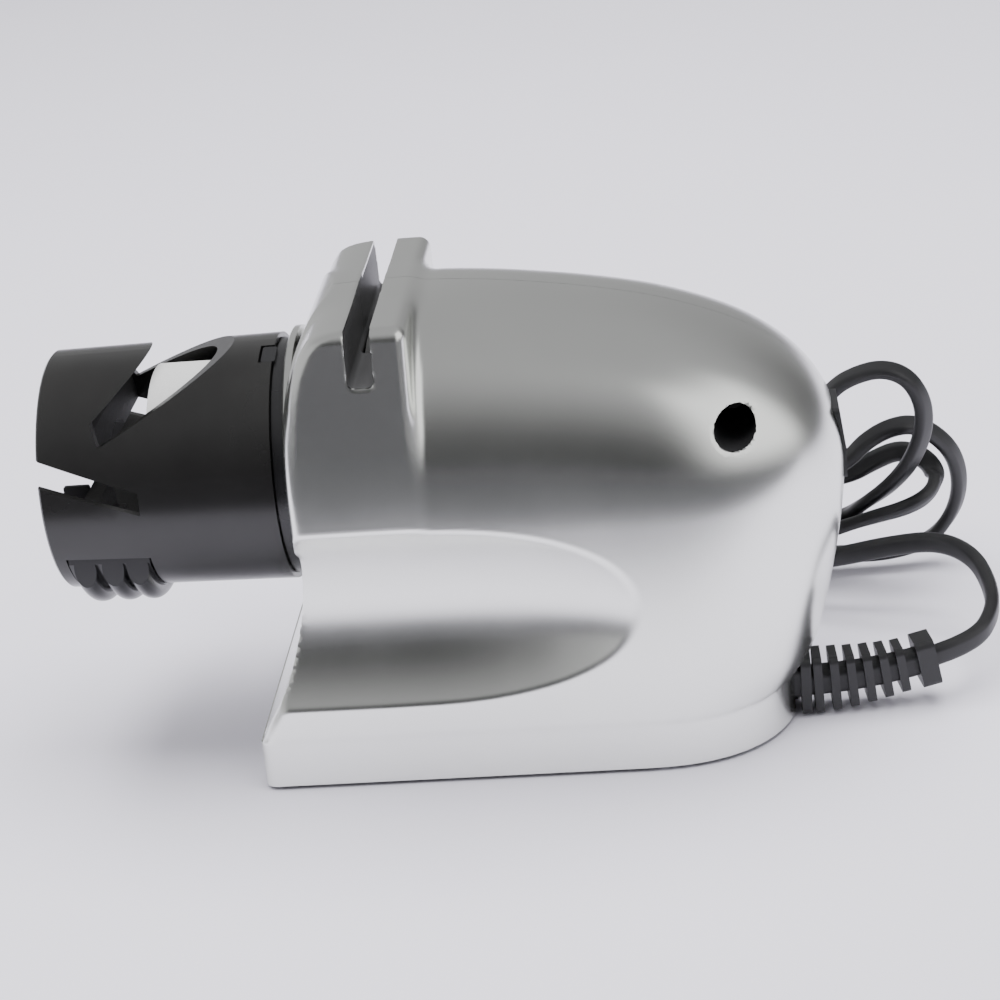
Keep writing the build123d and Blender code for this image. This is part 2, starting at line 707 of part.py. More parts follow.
with BuildPart() as wheel_spacers:
    for x0, x1 in ((-38.8, -34.4), (-23.6, slot_wheel_x0), (slot_wheel_x1, 2.6)):
        with BuildSketch(yz(x0, axis_z)):
            Circle(5.5)
            Circle(shaft_r, mode=Mode.SUBTRACT)
        extrude(amount=x1 - x0)
wheel_spacers.part.label = "wheel_spacers"
export_step(wheel_spacers.part, "parts/wheel_spacers.step")

with BuildPart() as wheel_washers:
    for x0 in (-67.2, -40.0):
        with BuildSketch(yz(x0, axis_z)):
            Circle(8.0)
            Circle(shaft_r, mode=Mode.SUBTRACT)
        extrude(amount=1.2)
wheel_washers.part.label = "wheel_washers"
export_step(wheel_washers.part, "parts/wheel_washers.step")

with BuildPart() as wheel_nut:
    with BuildSketch(yz(-72.4, axis_z)):
        RegularPolygon(radius=5.0, side_count=6, major_radius=False)
        Circle(shaft_r, mode=Mode.SUBTRACT)
    extrude(amount=5.2)
wheel_nut.part.label = "wheel_nut"
export_step(wheel_nut.part, "parts/wheel_nut.step")

with BuildPart() as fan:
    with BuildSketch(yz(2.6, axis_z)):
        Circle(20.0)
        Circle(shaft_r, mode=Mode.SUBTRACT)
    extrude(amount=0.8)
    with BuildSketch(yz(3.4, axis_z)):
        Circle(6.0)
        with PolarLocations(12.0, 10):
            Rectangle(14.0, 1.2)
        Circle(shaft_r, mode=Mode.SUBTRACT)
    extrude(amount=3.2)
fan.part.label = "fan"
export_step(fan.part, "parts/fan.step")

with BuildPart() as armature:
    with BuildSketch(yz(16.0, axis_z)):
        Circle(11.5)
        with PolarLocations(10.0, 5):
            Rectangle(4.0, 1.4, mode=Mode.SUBTRACT)
        Circle(shaft_r, mode=Mode.SUBTRACT)
    extrude(amount=24.0)
armature.part.label = "armature"
export_step(armature.part, "parts/armature.step")

with BuildPart() as commutator:
    with BuildSketch(yz(42.0, axis_z)):
        Circle(5.0)
        Circle(shaft_r, mode=Mode.SUBTRACT)
    extrude(amount=6.6)
commutator.part.label = "commutator"
export_step(commutator.part, "parts/commutator.step")

# ---------------------------------------------------------------- motor
with BuildPart() as motor_case:
    with BuildSketch(yz(motor_x0, axis_z)):
        Circle(motor_r)
        Circle(16.6, mode=Mode.SUBTRACT)
    extrude(amount=motor_x1 - motor_x0)
motor_case.part.label = "motor_case"
export_step(motor_case.part, "parts/motor_case.step")

with BuildPart() as motor_front_cap:
    with BuildSketch(yz(8.5, axis_z)):
        Circle(motor_r)
        Circle(6.0, mode=Mode.SUBTRACT)
    extrude(amount=motor_x0 - 8.5)
    with BuildSketch(yz(9.5, axis_z)):
        with Locations((0, 14.3), (0, -14.3)):
            Circle(1.5)
    extrude(amount=3, mode=Mode.SUBTRACT)
motor_front_cap.part.label = "motor_front_cap"
export_step(motor_front_cap.part, "parts/motor_front_cap.step")

with BuildPart() as motor_rear_cap:
    with BuildSketch(yz(motor_x1, axis_z)):
        Circle(motor_r)
        Circle(6.0, mode=Mode.SUBTRACT)
    extrude(amount=4.5)
    with BuildSketch(yz(motor_x1, axis_z)):
        with Locations((0, 14.3), (0, -14.3)):
            Circle(1.5)
    extrude(amount=6, mode=Mode.SUBTRACT)
motor_rear_cap.part.label = "motor_rear_cap"
export_step(motor_rear_cap.part, "parts/motor_rear_cap.step")

with BuildPart() as motor_bushings:
    for x0, x1 in ((7.2, 12.0), (50.0, 56.0)):
        with BuildSketch(yz(x0, axis_z)):
            Circle(6.0)
            Circle(shaft_r + 0.05, mode=Mode.SUBTRACT)
        extrude(amount=x1 - x0)
motor_bushings.part.label = "motor_bushings"
export_step(motor_bushings.part, "parts/motor_bushings.step")

with BuildPart() as motor_magnets:
    with BuildSketch(yz(14.0, axis_z)):
        Circle(16.5)
        Circle(12.4, mode=Mode.SUBTRACT)
        Rectangle(22.0, 40.0, mode=Mode.SUBTRACT)
    extrude(amount=28.5)
motor_magnets.part.label = "motor_magnets"
export_step(motor_magnets.part, "parts/motor_magnets.step")

with BuildPart() as motor_screws:
    with BuildSketch(yz(9.5, axis_z)):
        with Locations((0, 14.3), (0, -14.3)):
            Circle(1.5)
    extrude(amount=45.0)
    with BuildSketch(yz(54.5, axis_z)):
        with Locations((0, 14.3), (0, -14.3)):
            Circle(2.8)
    extrude(amount=1.8)
motor_screws.part.label = "motor_screws"
export_step(motor_screws.part, "parts/motor_screws.step")

with BuildPart() as brush_holders:
    with Locations((46.8, 11.8, axis_z), (46.8, -11.8, axis_z)):
        Box(6.4, 7.4, 6.8)
    with BuildSketch(Plane(origin=(46.2, 0, axis_z), x_dir=(1, 0, 0), z_dir=(0, 1, 0))):
        Circle(2.4)
    extrude(amount=30, both=True, mode=Mode.SUBTRACT)
brush_holders.part.label = "brush_holders"
export_step(brush_holders.part, "parts/brush_holders.step")

with BuildPart() as brushes:
    with BuildSketch(Plane(origin=(46.2, 5.4, axis_z), x_dir=(1, 0, 0), z_dir=(0, 1, 0))):
        Circle(2.4)
    extrude(amount=7.5)
    with BuildSketch(Plane(origin=(46.2, -5.4, axis_z), x_dir=(1, 0, 0), z_dir=(0, -1, 0))):
        Circle(2.4)
    extrude(amount=7.5)
brushes.part.label = "brushes"
export_step(brushes.part, "parts/brushes.step")

# ---------------------------------------------------------------- electrics
with BuildPart() as rectifier_board:
    with BuildSketch(Plane.XY.offset(board_z)):
        with Locations((28.0, 0)):
            RectangleRounded(40.0, 35.0, 1.5)
        with Locations(*board_posts):
            Circle(1.3, mode=Mode.SUBTRACT)
    extrude(amount=1.6)
rectifier_board.part.label = "rectifier_board"
export_step(rectifier_board.part, "parts/rectifier_board.step")

with BuildPart() as board_screws:
    with BuildSketch(Plane.XY.offset(board_z + 1.6)):
        with Locations(*board_posts):
            Circle(2.2)
    extrude(amount=1.4)
    with BuildSketch(Plane.XY.offset(board_z + 1.7)):
        with Locations(*board_posts):
            Circle(1.0)
    extrude(amount=-7.5)
board_screws.part.label = "board_screws"
export_step(board_screws.part, "parts/board_screws.step")

with BuildPart() as diodes:
    for y in (-6.0, -2.0, 2.0, 6.0):
        with BuildSketch(yz(33.4, board_z + 3.4)):
            with Locations((y, 0)):
                Circle(1.35)
        extrude(amount=5.2)
        with Locations((34.2, y, board_z + 2.6), (37.8, y, board_z + 2.6)):
            Box(0.7, 0.7, 2.0)
diodes.part.label = "diodes"
export_step(diodes.part, "parts/diodes.step")

with BuildPart() as capacitor:
    with Locations((22.0, 0, board_z + 1.6 + 5.5)):
        Box(8.0, 16.0, 11.0)
    fillet(edges().filter_by(Axis.Z), radius=1.0)
capacitor.part.label = "capacitor"
export_step(capacitor.part, "parts/capacitor.step")

# The switch sits in the tail: its face leans with the housing and its rocker turns on two pins.
rocker_pivot = (86.0, 64.0)
rocker_rest_deg = -7.0
with BuildPart() as switch_bezel:
    with BuildSketch(xz(7.0)):
        Polygon((84, 55.6), (89.9, 55.6), (89.9, 63.0), (88.6, 72.4), (84, 72.4), align=None)
    extrude(amount=14.0)
    fillet(edges().filter_by(Axis.X), radius=1.2)
    add(outer_form.part, mode=Mode.SUBTRACT)

with BuildPart() as switch_body:
    with BuildSketch(xz(5.8)):
        Polygon((72, 56.6), (89.9, 56.6), (89.9, 63.0), (88.8, 71.4), (72, 71.4), align=None)
    extrude(amount=11.6)
    add(switch_bezel.part)
    with BuildSketch(yz(82.5, 64)):
        Rectangle(9.8, 12.9)
    extrude(amount=12, mode=Mode.SUBTRACT)
    with BuildSketch(xz(5.4)):
        with Locations(rocker_pivot):
            Circle(0.95)
    extrude(amount=10.8, mode=Mode.SUBTRACT)
switch_body.part.label = "switch_body"
export_step(switch_body.part, "parts/switch_body.step")

with BuildPart() as switch_rocker:
    with BuildSketch(Plane(origin=(rocker_pivot[0], 4.6, rocker_pivot[1]), z_dir=(0, -1, 0),
                           x_dir=(math.cos(math.radians(rocker_rest_deg)), 0,
                                  -math.sin(math.radians(rocker_rest_deg))))):
        with BuildLine():
            ThreePointArc((3.2, -5.7), (2.3, 0), (3.2, 5.7))
            Polyline((3.2, 5.7), (0.2, 5.7), (-2.2, 1.5), (-2.2, -1.5), (0.2, -5.7), (3.2, -5.7))
        make_face()
    extrude(amount=9.2)
    with BuildSketch(xz(5.3)):
        with Locations(rocker_pivot):
            Circle(0.9)
    extrude(amount=10.6)
switch_rocker.part.label = "switch_rocker"
export_step(switch_rocker.part, "parts/switch_rocker.step")

with BuildPart() as switch_terminals:
    with Locations((69.0, 0, 60.4), (69.0, 0, 67.6)):
        Box(6.0, 6.3, 0.8)
switch_terminals.part.label = "switch_terminals"
export_step(switch_terminals.part, "parts/switch_terminals.step")


wires = {
    "mains_leads": [
        [(53.0, -13.3, 7.6), (46.0, -19.0, 9.0), (51.0, -22.0, 24.0), (58.0, -16.0, 46.0), (61.0, -3.0, 59.0), (66.0, 0.0, 60.4)],
        [(53.0, -10.7, 7.6), (50.5, -8.0, 10.5), (50.0, -7.0, 14.0), (48.0, -7.0, 15.0)],
    ],
    "switch_leads": [
        [(66.0, 0.0, 67.6), (61.0, 8.0, 66.0), (58.0, 18.0, 50.0), (54.0, 14.0, 28.0), (50.0, 9.0, 17.5), (48.0, 8.0, 15.0)],
    ],
    "motor_leads": [
        [(54.5, 9.0, 60.0), (58.0, 10.0, 55.0), (55.0, 12.0, 40.0), (46.0, 11.0, 26.0), (42.0, 9.0, 15.6)],
        [(54.5, -9.0, 60.0), (58.0, -10.0, 55.0), (55.0, -12.0, 40.0), (46.0, -11.0, 26.0), (42.0, -9.0, 15.6)],
    ],
}
wire_r = 0.85

for name, paths in wires.items():
    with BuildPart() as leads:
        for pts in paths:
            with BuildLine() as run:
                FilletPolyline(*pts, radius=1.6)
            with BuildSketch(Plane(origin=run.line @ 0, z_dir=run.line % 0)):
                Circle(wire_r)
            sweep(path=run.line)
    leads.part.label = name
    export_step(leads.part, "parts/" + name + ".step")

# ---------------------------------------------------------------- cord entry
core_w, core_h = 4.8, 6.4


def relief_plane(s):
    """Plane square to the strain relief's curved centreline, s mm along it: local axes are across and up."""
    roll = math.radians(relief_roll_deg)
    a = s / relief_arc_r
    n = (0, math.sin(roll), math.cos(roll))
    t = (math.cos(a), math.sin(a) * n[1], math.sin(a) * n[2])
    d = relief_arc_r * (1 - math.cos(a))
    across = Vector(0, 1, 0) - Vector(*t) * t[1]
    return Plane(origin=(relief_x + relief_arc_r * math.sin(a), relief_y + d * n[1], relief_z + d * n[2]),
                 x_dir=across.normalized(), z_dir=t)


relief_len = relief_arc_r * math.radians(relief_arc_deg)
relief_ribs = [(3.9, 14.0, 9.0), (7.75, 13.6, 8.8), (11.6, 13.0, 8.6), (15.5, 12.4, 8.4), (19.3, 11.8, 8.2),
               (23.2, 11.2, 8.0)]
with BuildPart() as strain_relief:
    for s0 in [0.0, 6.0, 12.0, 18.0, 24.0, relief_len - 4.4]:
        with BuildSketch(relief_plane(s0)):
            RectangleRounded(core_w + 1.6 - 1.6 * s0 / relief_len, core_h, 1.8)
    loft()
    with BuildSketch(relief_plane(0.0)):
        RectangleRounded(9.5, 14.2, 2.0)
    extrude(amount=2.3)
    for s0, h, w in relief_ribs:
        with BuildSketch(relief_plane(s0)):
            RectangleRounded(w, h, 1.6)
        extrude(amount=1.0, both=True)
    with BuildSketch(relief_plane(relief_len - 4.4)):
        RectangleRounded(8.5, 11.4, 1.6)
    extrude(amount=4.4)
    add(outer_form.part, mode=Mode.SUBTRACT)
    # neck through the housing wall and flange behind it
    with BuildSketch(yz(71.6, relief_z)):
        with Locations((relief_y, 0.3)):
            RectangleRounded(6.0, 7.2, 1.2)
    extrude(amount=6.0)
    with BuildSketch(yz(69.6, relief_z)):
        with Locations((relief_y, 1.2)):
            RectangleRounded(10.0, 9.0, 1.5)
    extrude(amount=2.0)
strain_relief.part.label = "strain_relief"
export_step(strain_relief.part, "parts/strain_relief.step")

with BuildPart() as inner_cord:
    with BuildSketch(yz(53.0, relief_z)):
        with Locations((relief_y, 0)):
            RectangleRounded(5.0, 3.4, 1.6)
    extrude(amount=16.6)
inner_cord.part.label = "inner_cord"
export_step(inner_cord.part, "parts/inner_cord.step")

clamp_z0 = relief_z - 1.7
with BuildPart() as cord_clamp:
    with Locations((clamp_x, relief_y, clamp_z0 + 2.9)):
        Box(6.0, 20.0, 5.8)
    fillet(edges().filter_by(Axis.Z), radius=1.5)
    with Locations((clamp_x, relief_y, relief_z)):
        Box(8.0, 5.0, 3.4, mode=Mode.SUBTRACT)
    with BuildSketch(Plane.XY):
        with Locations((clamp_x, relief_y - 7.0), (clamp_x, relief_y + 7.0)):
            Circle(1.0)
    extrude(amount=20, mode=Mode.SUBTRACT)
cord_clamp.part.label = "cord_clamp"
export_step(cord_clamp.part, "parts/cord_clamp.step")

with BuildPart() as cord_clamp_screws:
    with BuildSketch(Plane.XY.offset(clamp_z0 + 5.8)):
        with Locations((clamp_x, relief_y - 7.0), (clamp_x, relief_y + 7.0)):
            Circle(2.2)
    extrude(amount=1.4)
    with BuildSketch(Plane.XY.offset(clamp_z0 + 5.9)):
        with Locations((clamp_x, relief_y - 7.0), (clamp_x, relief_y + 7.0)):
            Circle(1.0)
    extrude(amount=-8.0)
cord_clamp_screws.part.label = "cord_clamp_screws"
export_step(cord_clamp_screws.part, "parts/cord_clamp_screws.step")

# ---------------------------------------------------------------- cord
exit_plane = relief_plane(relief_len)
exit_pt, exit_dir = exit_plane.origin, exit_plane.z_dir
cord_pts = [tuple(exit_pt), tuple(exit_pt + exit_dir * 10.0),
            (123.2, 2.0, 15.6), (123.6, 13.5, 17.4), (121.0, 24.5, 19.9), (113.5, 32.5, 20.8), (102.0, 36.2, 18.4),
            (89.0, 39.0, 14.8), (76.0, 43.0, 11.8), (65.0, 50.5, 10.0), (61.5, 59.5, 10.0)]


def cord_radii(pts):
    """One radius for each corner, as large as its two runs allow."""
    out = []
    for a, b, c in zip(pts, pts[1:], pts[2:]):
        u, v = Vector(*b) - Vector(*a), Vector(*c) - Vector(*b)
        turn = math.radians(u.get_angle(v))
        out.append(0.45 * min(u.length, v.length) / math.tan(turn / 2))
    return out


radii = cord_radii(cord_pts)
print("cord: exit", [round(v, 3) for v in exit_pt], "direction", [round(v, 4) for v in exit_dir])
print("cord: second point", [round(v, 3) for v in cord_pts[1]])
print("cord: arc radii in mm", [round(r, 1) for r in radii])
with BuildPart() as cord:
    with BuildLine() as cord_line:
        FilletPolyline(*cord_pts, radius=radii)
    with BuildSketch(Plane(origin=cord_line.line @ 0, z_dir=cord_line.line % 0)):
        Circle(cord_d / 2)
    sweep(path=cord_line.line)
cord.part.label = "cord"
export_step(cord.part, "parts/cord.step")
cord_length = sum(e.length for e in cord_line.line.edges())
print("cord: length", round(cord_length, 1), "volume", round(cord.part.volume, 1),
      "section x length", round(math.pi * cord_d ** 2 / 4 * cord_length, 1))

# The folded cord stands behind the machine and leans towards it.
lean = math.radians(lean_deg)
hank_side = 1.2                      # middle of the hank, towards the machine from its plane
hank_plane = Plane(origin=(0, 66.0 - hank_side * math.cos(lean), -hank_side * math.sin(lean)),
                   x_dir=(1, 0, 0), z_dir=(0, -math.cos(lean), -math.sin(lean)))
with BuildPart() as cord_hank:
    with BuildSketch(hank_plane):
        with BuildLine():
            FilletPolyline((47, 15.8), (56.5, 15.8), (63, 6.2), (84, 3.6), (110, 3.2), (121, 8.0), (125, 21),
                           (122.5, 35), (115.5, 45), (114, 59), (105, 67.6), (94, 66.6), (82, 52), (70, 40),
                           (60, 33.2), (47, 33.2), (40, 39.5), (31, 44), (20, 43.5), (11, 37), (8.8, 27),
                           (11, 19), (20, 10.4), (31, 10.2), (40, 14), radius=2.5, close=True)
        make_face()
    extrude(amount=7.0, both=True)
cord_hank.part.label = "cord_hank"
export_step(cord_hank.part, "parts/cord_hank.step")

with BuildPart() as cord_tie:
    with BuildSketch(Plane(origin=(48.5, 66.0, 0), x_dir=(0, math.cos(lean), math.sin(lean)), z_dir=(1, 0, 0))):
        with Locations((-hank_side, 24.5)):
            RectangleRounded(17.4, 21.4, 2.6)
            RectangleRounded(14.2, 18.2, 1.0, mode=Mode.SUBTRACT)
    extrude(amount=6.0)
cord_tie.part.label = "cord_tie"
export_step(cord_tie.part, "parts/cord_tie.step")

plug_y, plug_z = 60.0, 7.2
tail_pts = [(12.0, plug_y, plug_z), (27.0, 60.4, 6.9), (44.0, 61.8, 7.7), (60.0, 62.6, 7.4), (66.0, 62.7, 7.0)]
tail_radii = cord_radii(tail_pts)
print("cord tail: arc radii in mm", [round(r, 1) for r in tail_radii])
with BuildPart() as cord_tail:
    with BuildLine() as cord_tail_line:
        FilletPolyline(*tail_pts, radius=tail_radii)
    with BuildSketch(Plane(origin=cord_tail_line.line @ 0, z_dir=cord_tail_line.line % 0)):
        Circle(cord_d / 2)
    sweep(path=cord_tail_line.line)
cord_tail.part.label = "cord_tail"
export_step(cord_tail.part, "parts/cord_tail.step")

with BuildPart() as plug_body:
    with BuildSketch(Plane.XY.offset(0.3)):
        with BuildLine():
            FilletPolyline((-23.0, plug_y - 17.6), (-23.0, plug_y + 17.6), (-16.0, plug_y + 17.6), (-3.0, plug_y + 8.5),
                           (12.0, plug_y + 5.0), (12.0, plug_y - 5.0), (-3.0, plug_y - 8.5), (-16.0, plug_y - 17.6),
                           radius=1.6, close=True)
        make_face()
    extrude(amount=13.8)
    chamfer(faces().filter_by(Axis.Z).edges(), length=1.0)
plug_body.part.label = "plug_body"
export_step(plug_body.part, "parts/plug_body.step")

with BuildPart() as plug_pins:
    with BuildSketch(yz(-42.0, plug_z)):
        with Locations((plug_y - 9.3, 0), (plug_y + 9.3, 0)):
            Circle(2.0)
    extrude(amount=19.0)
    fillet(edges().group_by(Axis.X)[0], radius=1.2)
plug_pins.part.label = "plug_pins"
export_step(plug_pins.part, "parts/plug_pins.step")
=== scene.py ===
import json
import math

import bpy
import numpy as np
from mathutils import Matrix, Vector


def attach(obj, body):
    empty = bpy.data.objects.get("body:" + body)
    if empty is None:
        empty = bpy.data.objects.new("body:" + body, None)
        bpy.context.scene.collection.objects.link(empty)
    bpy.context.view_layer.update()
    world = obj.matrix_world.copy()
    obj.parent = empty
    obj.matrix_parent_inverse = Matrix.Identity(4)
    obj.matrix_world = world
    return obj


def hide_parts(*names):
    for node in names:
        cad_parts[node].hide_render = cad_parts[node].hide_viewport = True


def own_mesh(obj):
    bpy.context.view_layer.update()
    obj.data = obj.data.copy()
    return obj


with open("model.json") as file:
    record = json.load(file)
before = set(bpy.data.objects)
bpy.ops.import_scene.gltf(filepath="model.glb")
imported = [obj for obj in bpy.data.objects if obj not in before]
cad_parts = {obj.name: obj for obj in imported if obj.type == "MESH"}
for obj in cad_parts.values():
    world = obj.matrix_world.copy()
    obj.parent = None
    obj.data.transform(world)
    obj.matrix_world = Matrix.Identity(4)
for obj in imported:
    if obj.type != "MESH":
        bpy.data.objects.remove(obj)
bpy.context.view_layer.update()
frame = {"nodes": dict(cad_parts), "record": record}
nodes = frame["nodes"]
scene = bpy.context.scene
MM = 0.001

# ------------------------------------------------------------------ camera
cam_data = bpy.data.cameras.new("camera")
cam_data.lens = 90.0
cam_data.sensor_width = 36.0
cam_data.clip_start, cam_data.clip_end = 0.02, 20.0
cam = bpy.data.objects.new("camera", cam_data)
scene.collection.objects.link(cam)
cam_r = Vector((0.994299, 0.057436, -0.089826))
cam_u = Vector((0.059863, 0.396429, 0.916111))
cam_v = Vector((-0.088227, 0.916267, -0.390731))
cam.matrix_world = Matrix(((cam_r.x, cam_u.x, -cam_v.x, 0.06128),
                           (cam_r.y, cam_u.y, -cam_v.y, -0.53168),
                           (cam_r.z, cam_u.z, -cam_v.z, 0.27912),
                           (0, 0, 0, 1)))
scene.camera = cam


# ------------------------------------------------------------------ materials
def new_material(name):
    m = bpy.data.materials.new(name)
    m.use_nodes = True
    nt = m.node_tree
    return m, nt, nt.nodes["Principled BSDF"]


def noise(nt, scale, detail=3.0, rough=0.5, coords="Object", stretch=None):
    tc = nt.nodes.new("ShaderNodeTexCoord")
    out = tc.outputs[coords]
    if stretch is not None:
        mp = nt.nodes.new("ShaderNodeMapping")
        mp.inputs["Scale"].default_value = stretch
        nt.links.new(out, mp.inputs["Vector"])
        out = mp.outputs["Vector"]
    n = nt.nodes.new("ShaderNodeTexNoise")
    n.inputs["Scale"].default_value = scale
    n.inputs["Detail"].default_value = detail
    n.inputs["Roughness"].default_value = rough
    nt.links.new(out, n.inputs["Vector"])
    return n.outputs["Fac"]


def ramp(nt, fac, stops):
    r = nt.nodes.new("ShaderNodeValToRGB")
    while len(r.color_ramp.elements) > len(stops):
        r.color_ramp.elements.remove(r.color_ramp.elements[-1])
    while len(r.color_ramp.elements) < len(stops):
        r.color_ramp.elements.new(1.0)
    for e, (p, c) in zip(r.color_ramp.elements, stops):
        e.position = p
        e.color = (*c, 1.0) if len(c) == 3 else c
    nt.links.new(fac, r.inputs["Fac"])
    return r.outputs["Color"]


def spread_value(nt, fac, low, high):
    m = nt.nodes.new("ShaderNodeMapRange")
    m.inputs["From Min"].default_value = 0.3
    m.inputs["From Max"].default_value = 0.7
    m.inputs["To Min"].default_value = low
    m.inputs["To Max"].default_value = high
    nt.links.new(fac, m.inputs["Value"])
    return m.outputs["Result"]


def bump(nt, fac, strength, distance, normal=None):
    b = nt.nodes.new("ShaderNodeBump")
    b.inputs["Strength"].default_value = strength
    b.inputs["Distance"].default_value = distance
    nt.links.new(fac, b.inputs["Height"])
    if normal is not None:
        nt.links.new(normal, b.inputs["Normal"])
    return b.outputs["Normal"]


def moulded(name, dark, light, rough=(0.35, 0.45), grain=1400.0, strength=0.08, metallic=0.0, coat=0.0,
            mottling=60.0, ior=1.5, depth=0.00008):
    """Paint, moulded plastic or metal: slightly mottled colour and roughness, and a fine grain."""
    m, nt, b = new_material(name)
    mott = noise(nt, mottling, 4.0, 0.55)
    nt.links.new(ramp(nt, mott, [(0.3, dark), (0.7, light)]), b.inputs["Base Color"])
    nt.links.new(spread_value(nt, mott, *rough), b.inputs["Roughness"])
    fine = noise(nt, grain, 2.0, 0.6)
    nt.links.new(bump(nt, fine, strength, depth), b.inputs["Normal"])
    b.inputs["Metallic"].default_value = metallic
    b.inputs["IOR"].default_value = ior
    b.inputs["Coat Weight"].default_value = coat
    b.inputs["Coat Roughness"].default_value = 0.12
    return m


MAT = {
    "silver_paint": moulded("silver_paint", (0.865, 0.875, 0.845), (0.895, 0.905, 0.87), rough=(0.21, 0.25), grain=5200.0,
                            strength=0.10, metallic=1.0, mottling=35.0, depth=0.00003),
    "black_gloss": moulded("black_gloss", (0.010, 0.010, 0.011), (0.016, 0.016, 0.017), rough=(0.20, 0.26),
                           grain=900.0, strength=0.03, mottling=45.0),
    "black_matte": moulded("black_matte", (0.011, 0.011, 0.012), (0.019, 0.019, 0.020), rough=(0.42, 0.52),
                           grain=2600.0, strength=0.18),
    "rocker_black": moulded("rocker_black", (0.012, 0.012, 0.013), (0.020, 0.020, 0.021), rough=(0.30, 0.36),
                            grain=2200.0, strength=0.10),
    "rubber_foot": moulded("rubber_foot", (0.020, 0.020, 0.021), (0.032, 0.032, 0.033), rough=(0.70, 0.85),
                           grain=2400.0, strength=0.30),
    "cord_rubber": moulded("cord_rubber", (0.012, 0.012, 0.013), (0.020, 0.020, 0.021), rough=(0.40, 0.50),
                           grain=2100.0, strength=0.16),
    "cord_jacket": moulded("cord_jacket", (0.010, 0.010, 0.011), (0.018, 0.018, 0.019), rough=(0.36, 0.46),
                           grain=1500.0, strength=0.08),
    "tie_black": moulded("tie_black", (0.020, 0.020, 0.021), (0.034, 0.034, 0.035), rough=(0.50, 0.60),
                         grain=1800.0, strength=0.12),
    "nickel": moulded("nickel", (0.70, 0.68, 0.64), (0.78, 0.76, 0.72), rough=(0.18, 0.28), grain=1600.0,
                      strength=0.05, metallic=1.0),
    "steel": moulded("steel", (0.50, 0.50, 0.51), (0.60, 0.60, 0.61), rough=(0.26, 0.38), grain=1800.0,
                     strength=0.08, metallic=1.0),
    "armature_steel": moulded("armature_steel", (0.30, 0.30, 0.32), (0.42, 0.42, 0.43), rough=(0.38, 0.5),
                              grain=1500.0, strength=0.15, metallic=1.0),
    "copper": moulded("copper", (0.72, 0.36, 0.20), (0.85, 0.45, 0.26), rough=(0.22, 0.34), grain=1500.0,
                      strength=0.08, metallic=1.0),
    "carbon": moulded("carbon", (0.02, 0.02, 0.02), (0.04, 0.04, 0.04), rough=(0.5, 0.65), grain=2500.0,
                      strength=0.25),
    "board_green": moulded("board_green", (0.012, 0.10, 0.035), (0.018, 0.14, 0.05), rough=(0.30, 0.42),
                           grain=900.0, strength=0.06),
    "capacitor_yellow": moulded("capacitor_yellow", (0.62, 0.42, 0.05), (0.72, 0.50, 0.07), rough=(0.28, 0.38),
                                grain=900.0, strength=0.06),
    "wire_brown": moulded("wire_brown", (0.16, 0.06, 0.025), (0.22, 0.085, 0.035), rough=(0.35, 0.45),
                          grain=1200.0, strength=0.06),
}


def stone(name, dark, mid, light, grain_scale, strength, depth):
    """Sintered abrasive: pale grains in a greyer bond, with pores."""
    m, nt, b = new_material(name)
    tc = nt.nodes.new("ShaderNodeTexCoord")
    vor = nt.nodes.new("ShaderNodeTexVoronoi")
    vor.inputs["Scale"].default_value = grain_scale
    nt.links.new(tc.outputs["Object"], vor.inputs["Vector"])
    big = noise(nt, grain_scale * 0.35, 4.0, 0.65)
    mix = nt.nodes.new("ShaderNodeMath")
    mix.operation = "ADD"
    nt.links.new(vor.outputs["Distance"], mix.inputs[0])
    nt.links.new(big, mix.inputs[1])
    nt.links.new(ramp(nt, mix.outputs[0], [(0.35, dark), (0.75, mid), (1.0, light)]), b.inputs["Base Color"])
    nt.links.new(spread_value(nt, big, 0.82, 0.95), b.inputs["Roughness"])
    nt.links.new(bump(nt, mix.outputs[0], strength, depth), b.inputs["Normal"])
    b.inputs["Specular IOR Level"].default_value = 0.3
    return m


MAT["stone_light"] = stone("stone_light", (0.42, 0.42, 0.42), (0.54, 0.54, 0.54), (0.60, 0.60, 0.60), 5200.0, 0.25,
                           0.00005)
# stone_fine is darkened to near black as painted shade: the wheel deep in the narrow slot reads as a dark slit
MAT["stone_fine"] = stone("stone_fine", (0.035, 0.035, 0.035), (0.06, 0.06, 0.06), (0.09, 0.09, 0.09), 3600.0, 0.4,
                          0.00008)
MAT["inner_plastic"] = moulded("inner_plastic", (0.012, 0.012, 0.013), (0.020, 0.020, 0.021), rough=(0.45, 0.55),
                               grain=1800.0, strength=0.15)
# dark grey for the deep walls and floor of the knife slot: painted shade on the silver-painted housing
MAT["slot_grey"] = moulded("slot_grey", (0.055, 0.055, 0.057), (0.080, 0.080, 0.082), rough=(0.40, 0.50),
                           grain=2200.0, strength=0.12)
MAT["print_grey"] = moulded("print_grey", (0.42, 0.42, 0.42), (0.60, 0.60, 0.60), rough=(0.45, 0.6), grain=2500.0,
                            strength=0.1, mottling=900.0)


def set_material(obj, name):
    obj.data.materials.clear()
    obj.data.materials.append(MAT[name])


def piece(name, mesh, material, body, replaces=()):
    ob = bpy.data.objects.new(name, mesh)
    scene.collection.objects.link(ob)
    set_material(ob, material)
    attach(ob, body)
    if replaces:
        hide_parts(*replaces)
    return ob


def mesh_from(name, verts, faces, sharp_deg=38.0):
    me = bpy.data.meshes.new(name)
    verts = np.asarray(verts, np.float32)
    faces = np.asarray(faces, np.int32)
    k = faces.shape[1]
    me.vertices.add(len(verts))
    me.vertices.foreach_set("co", verts.ravel())
    me.loops.add(faces.size)
    me.loops.foreach_set("vertex_index", faces.ravel())
    me.polygons.add(len(faces))
    me.polygons.foreach_set("loop_start", np.arange(0, faces.size, k, dtype=np.int32))
    me.update(calc_edges=True)
    me.validate()
    me.shade_smooth()
    if sharp_deg:
        me.set_sharp_from_angle(angle=math.radians(sharp_deg))
    return me


# ------------------------------------------------------------------ cord
LEAN = math.radians(15.0)


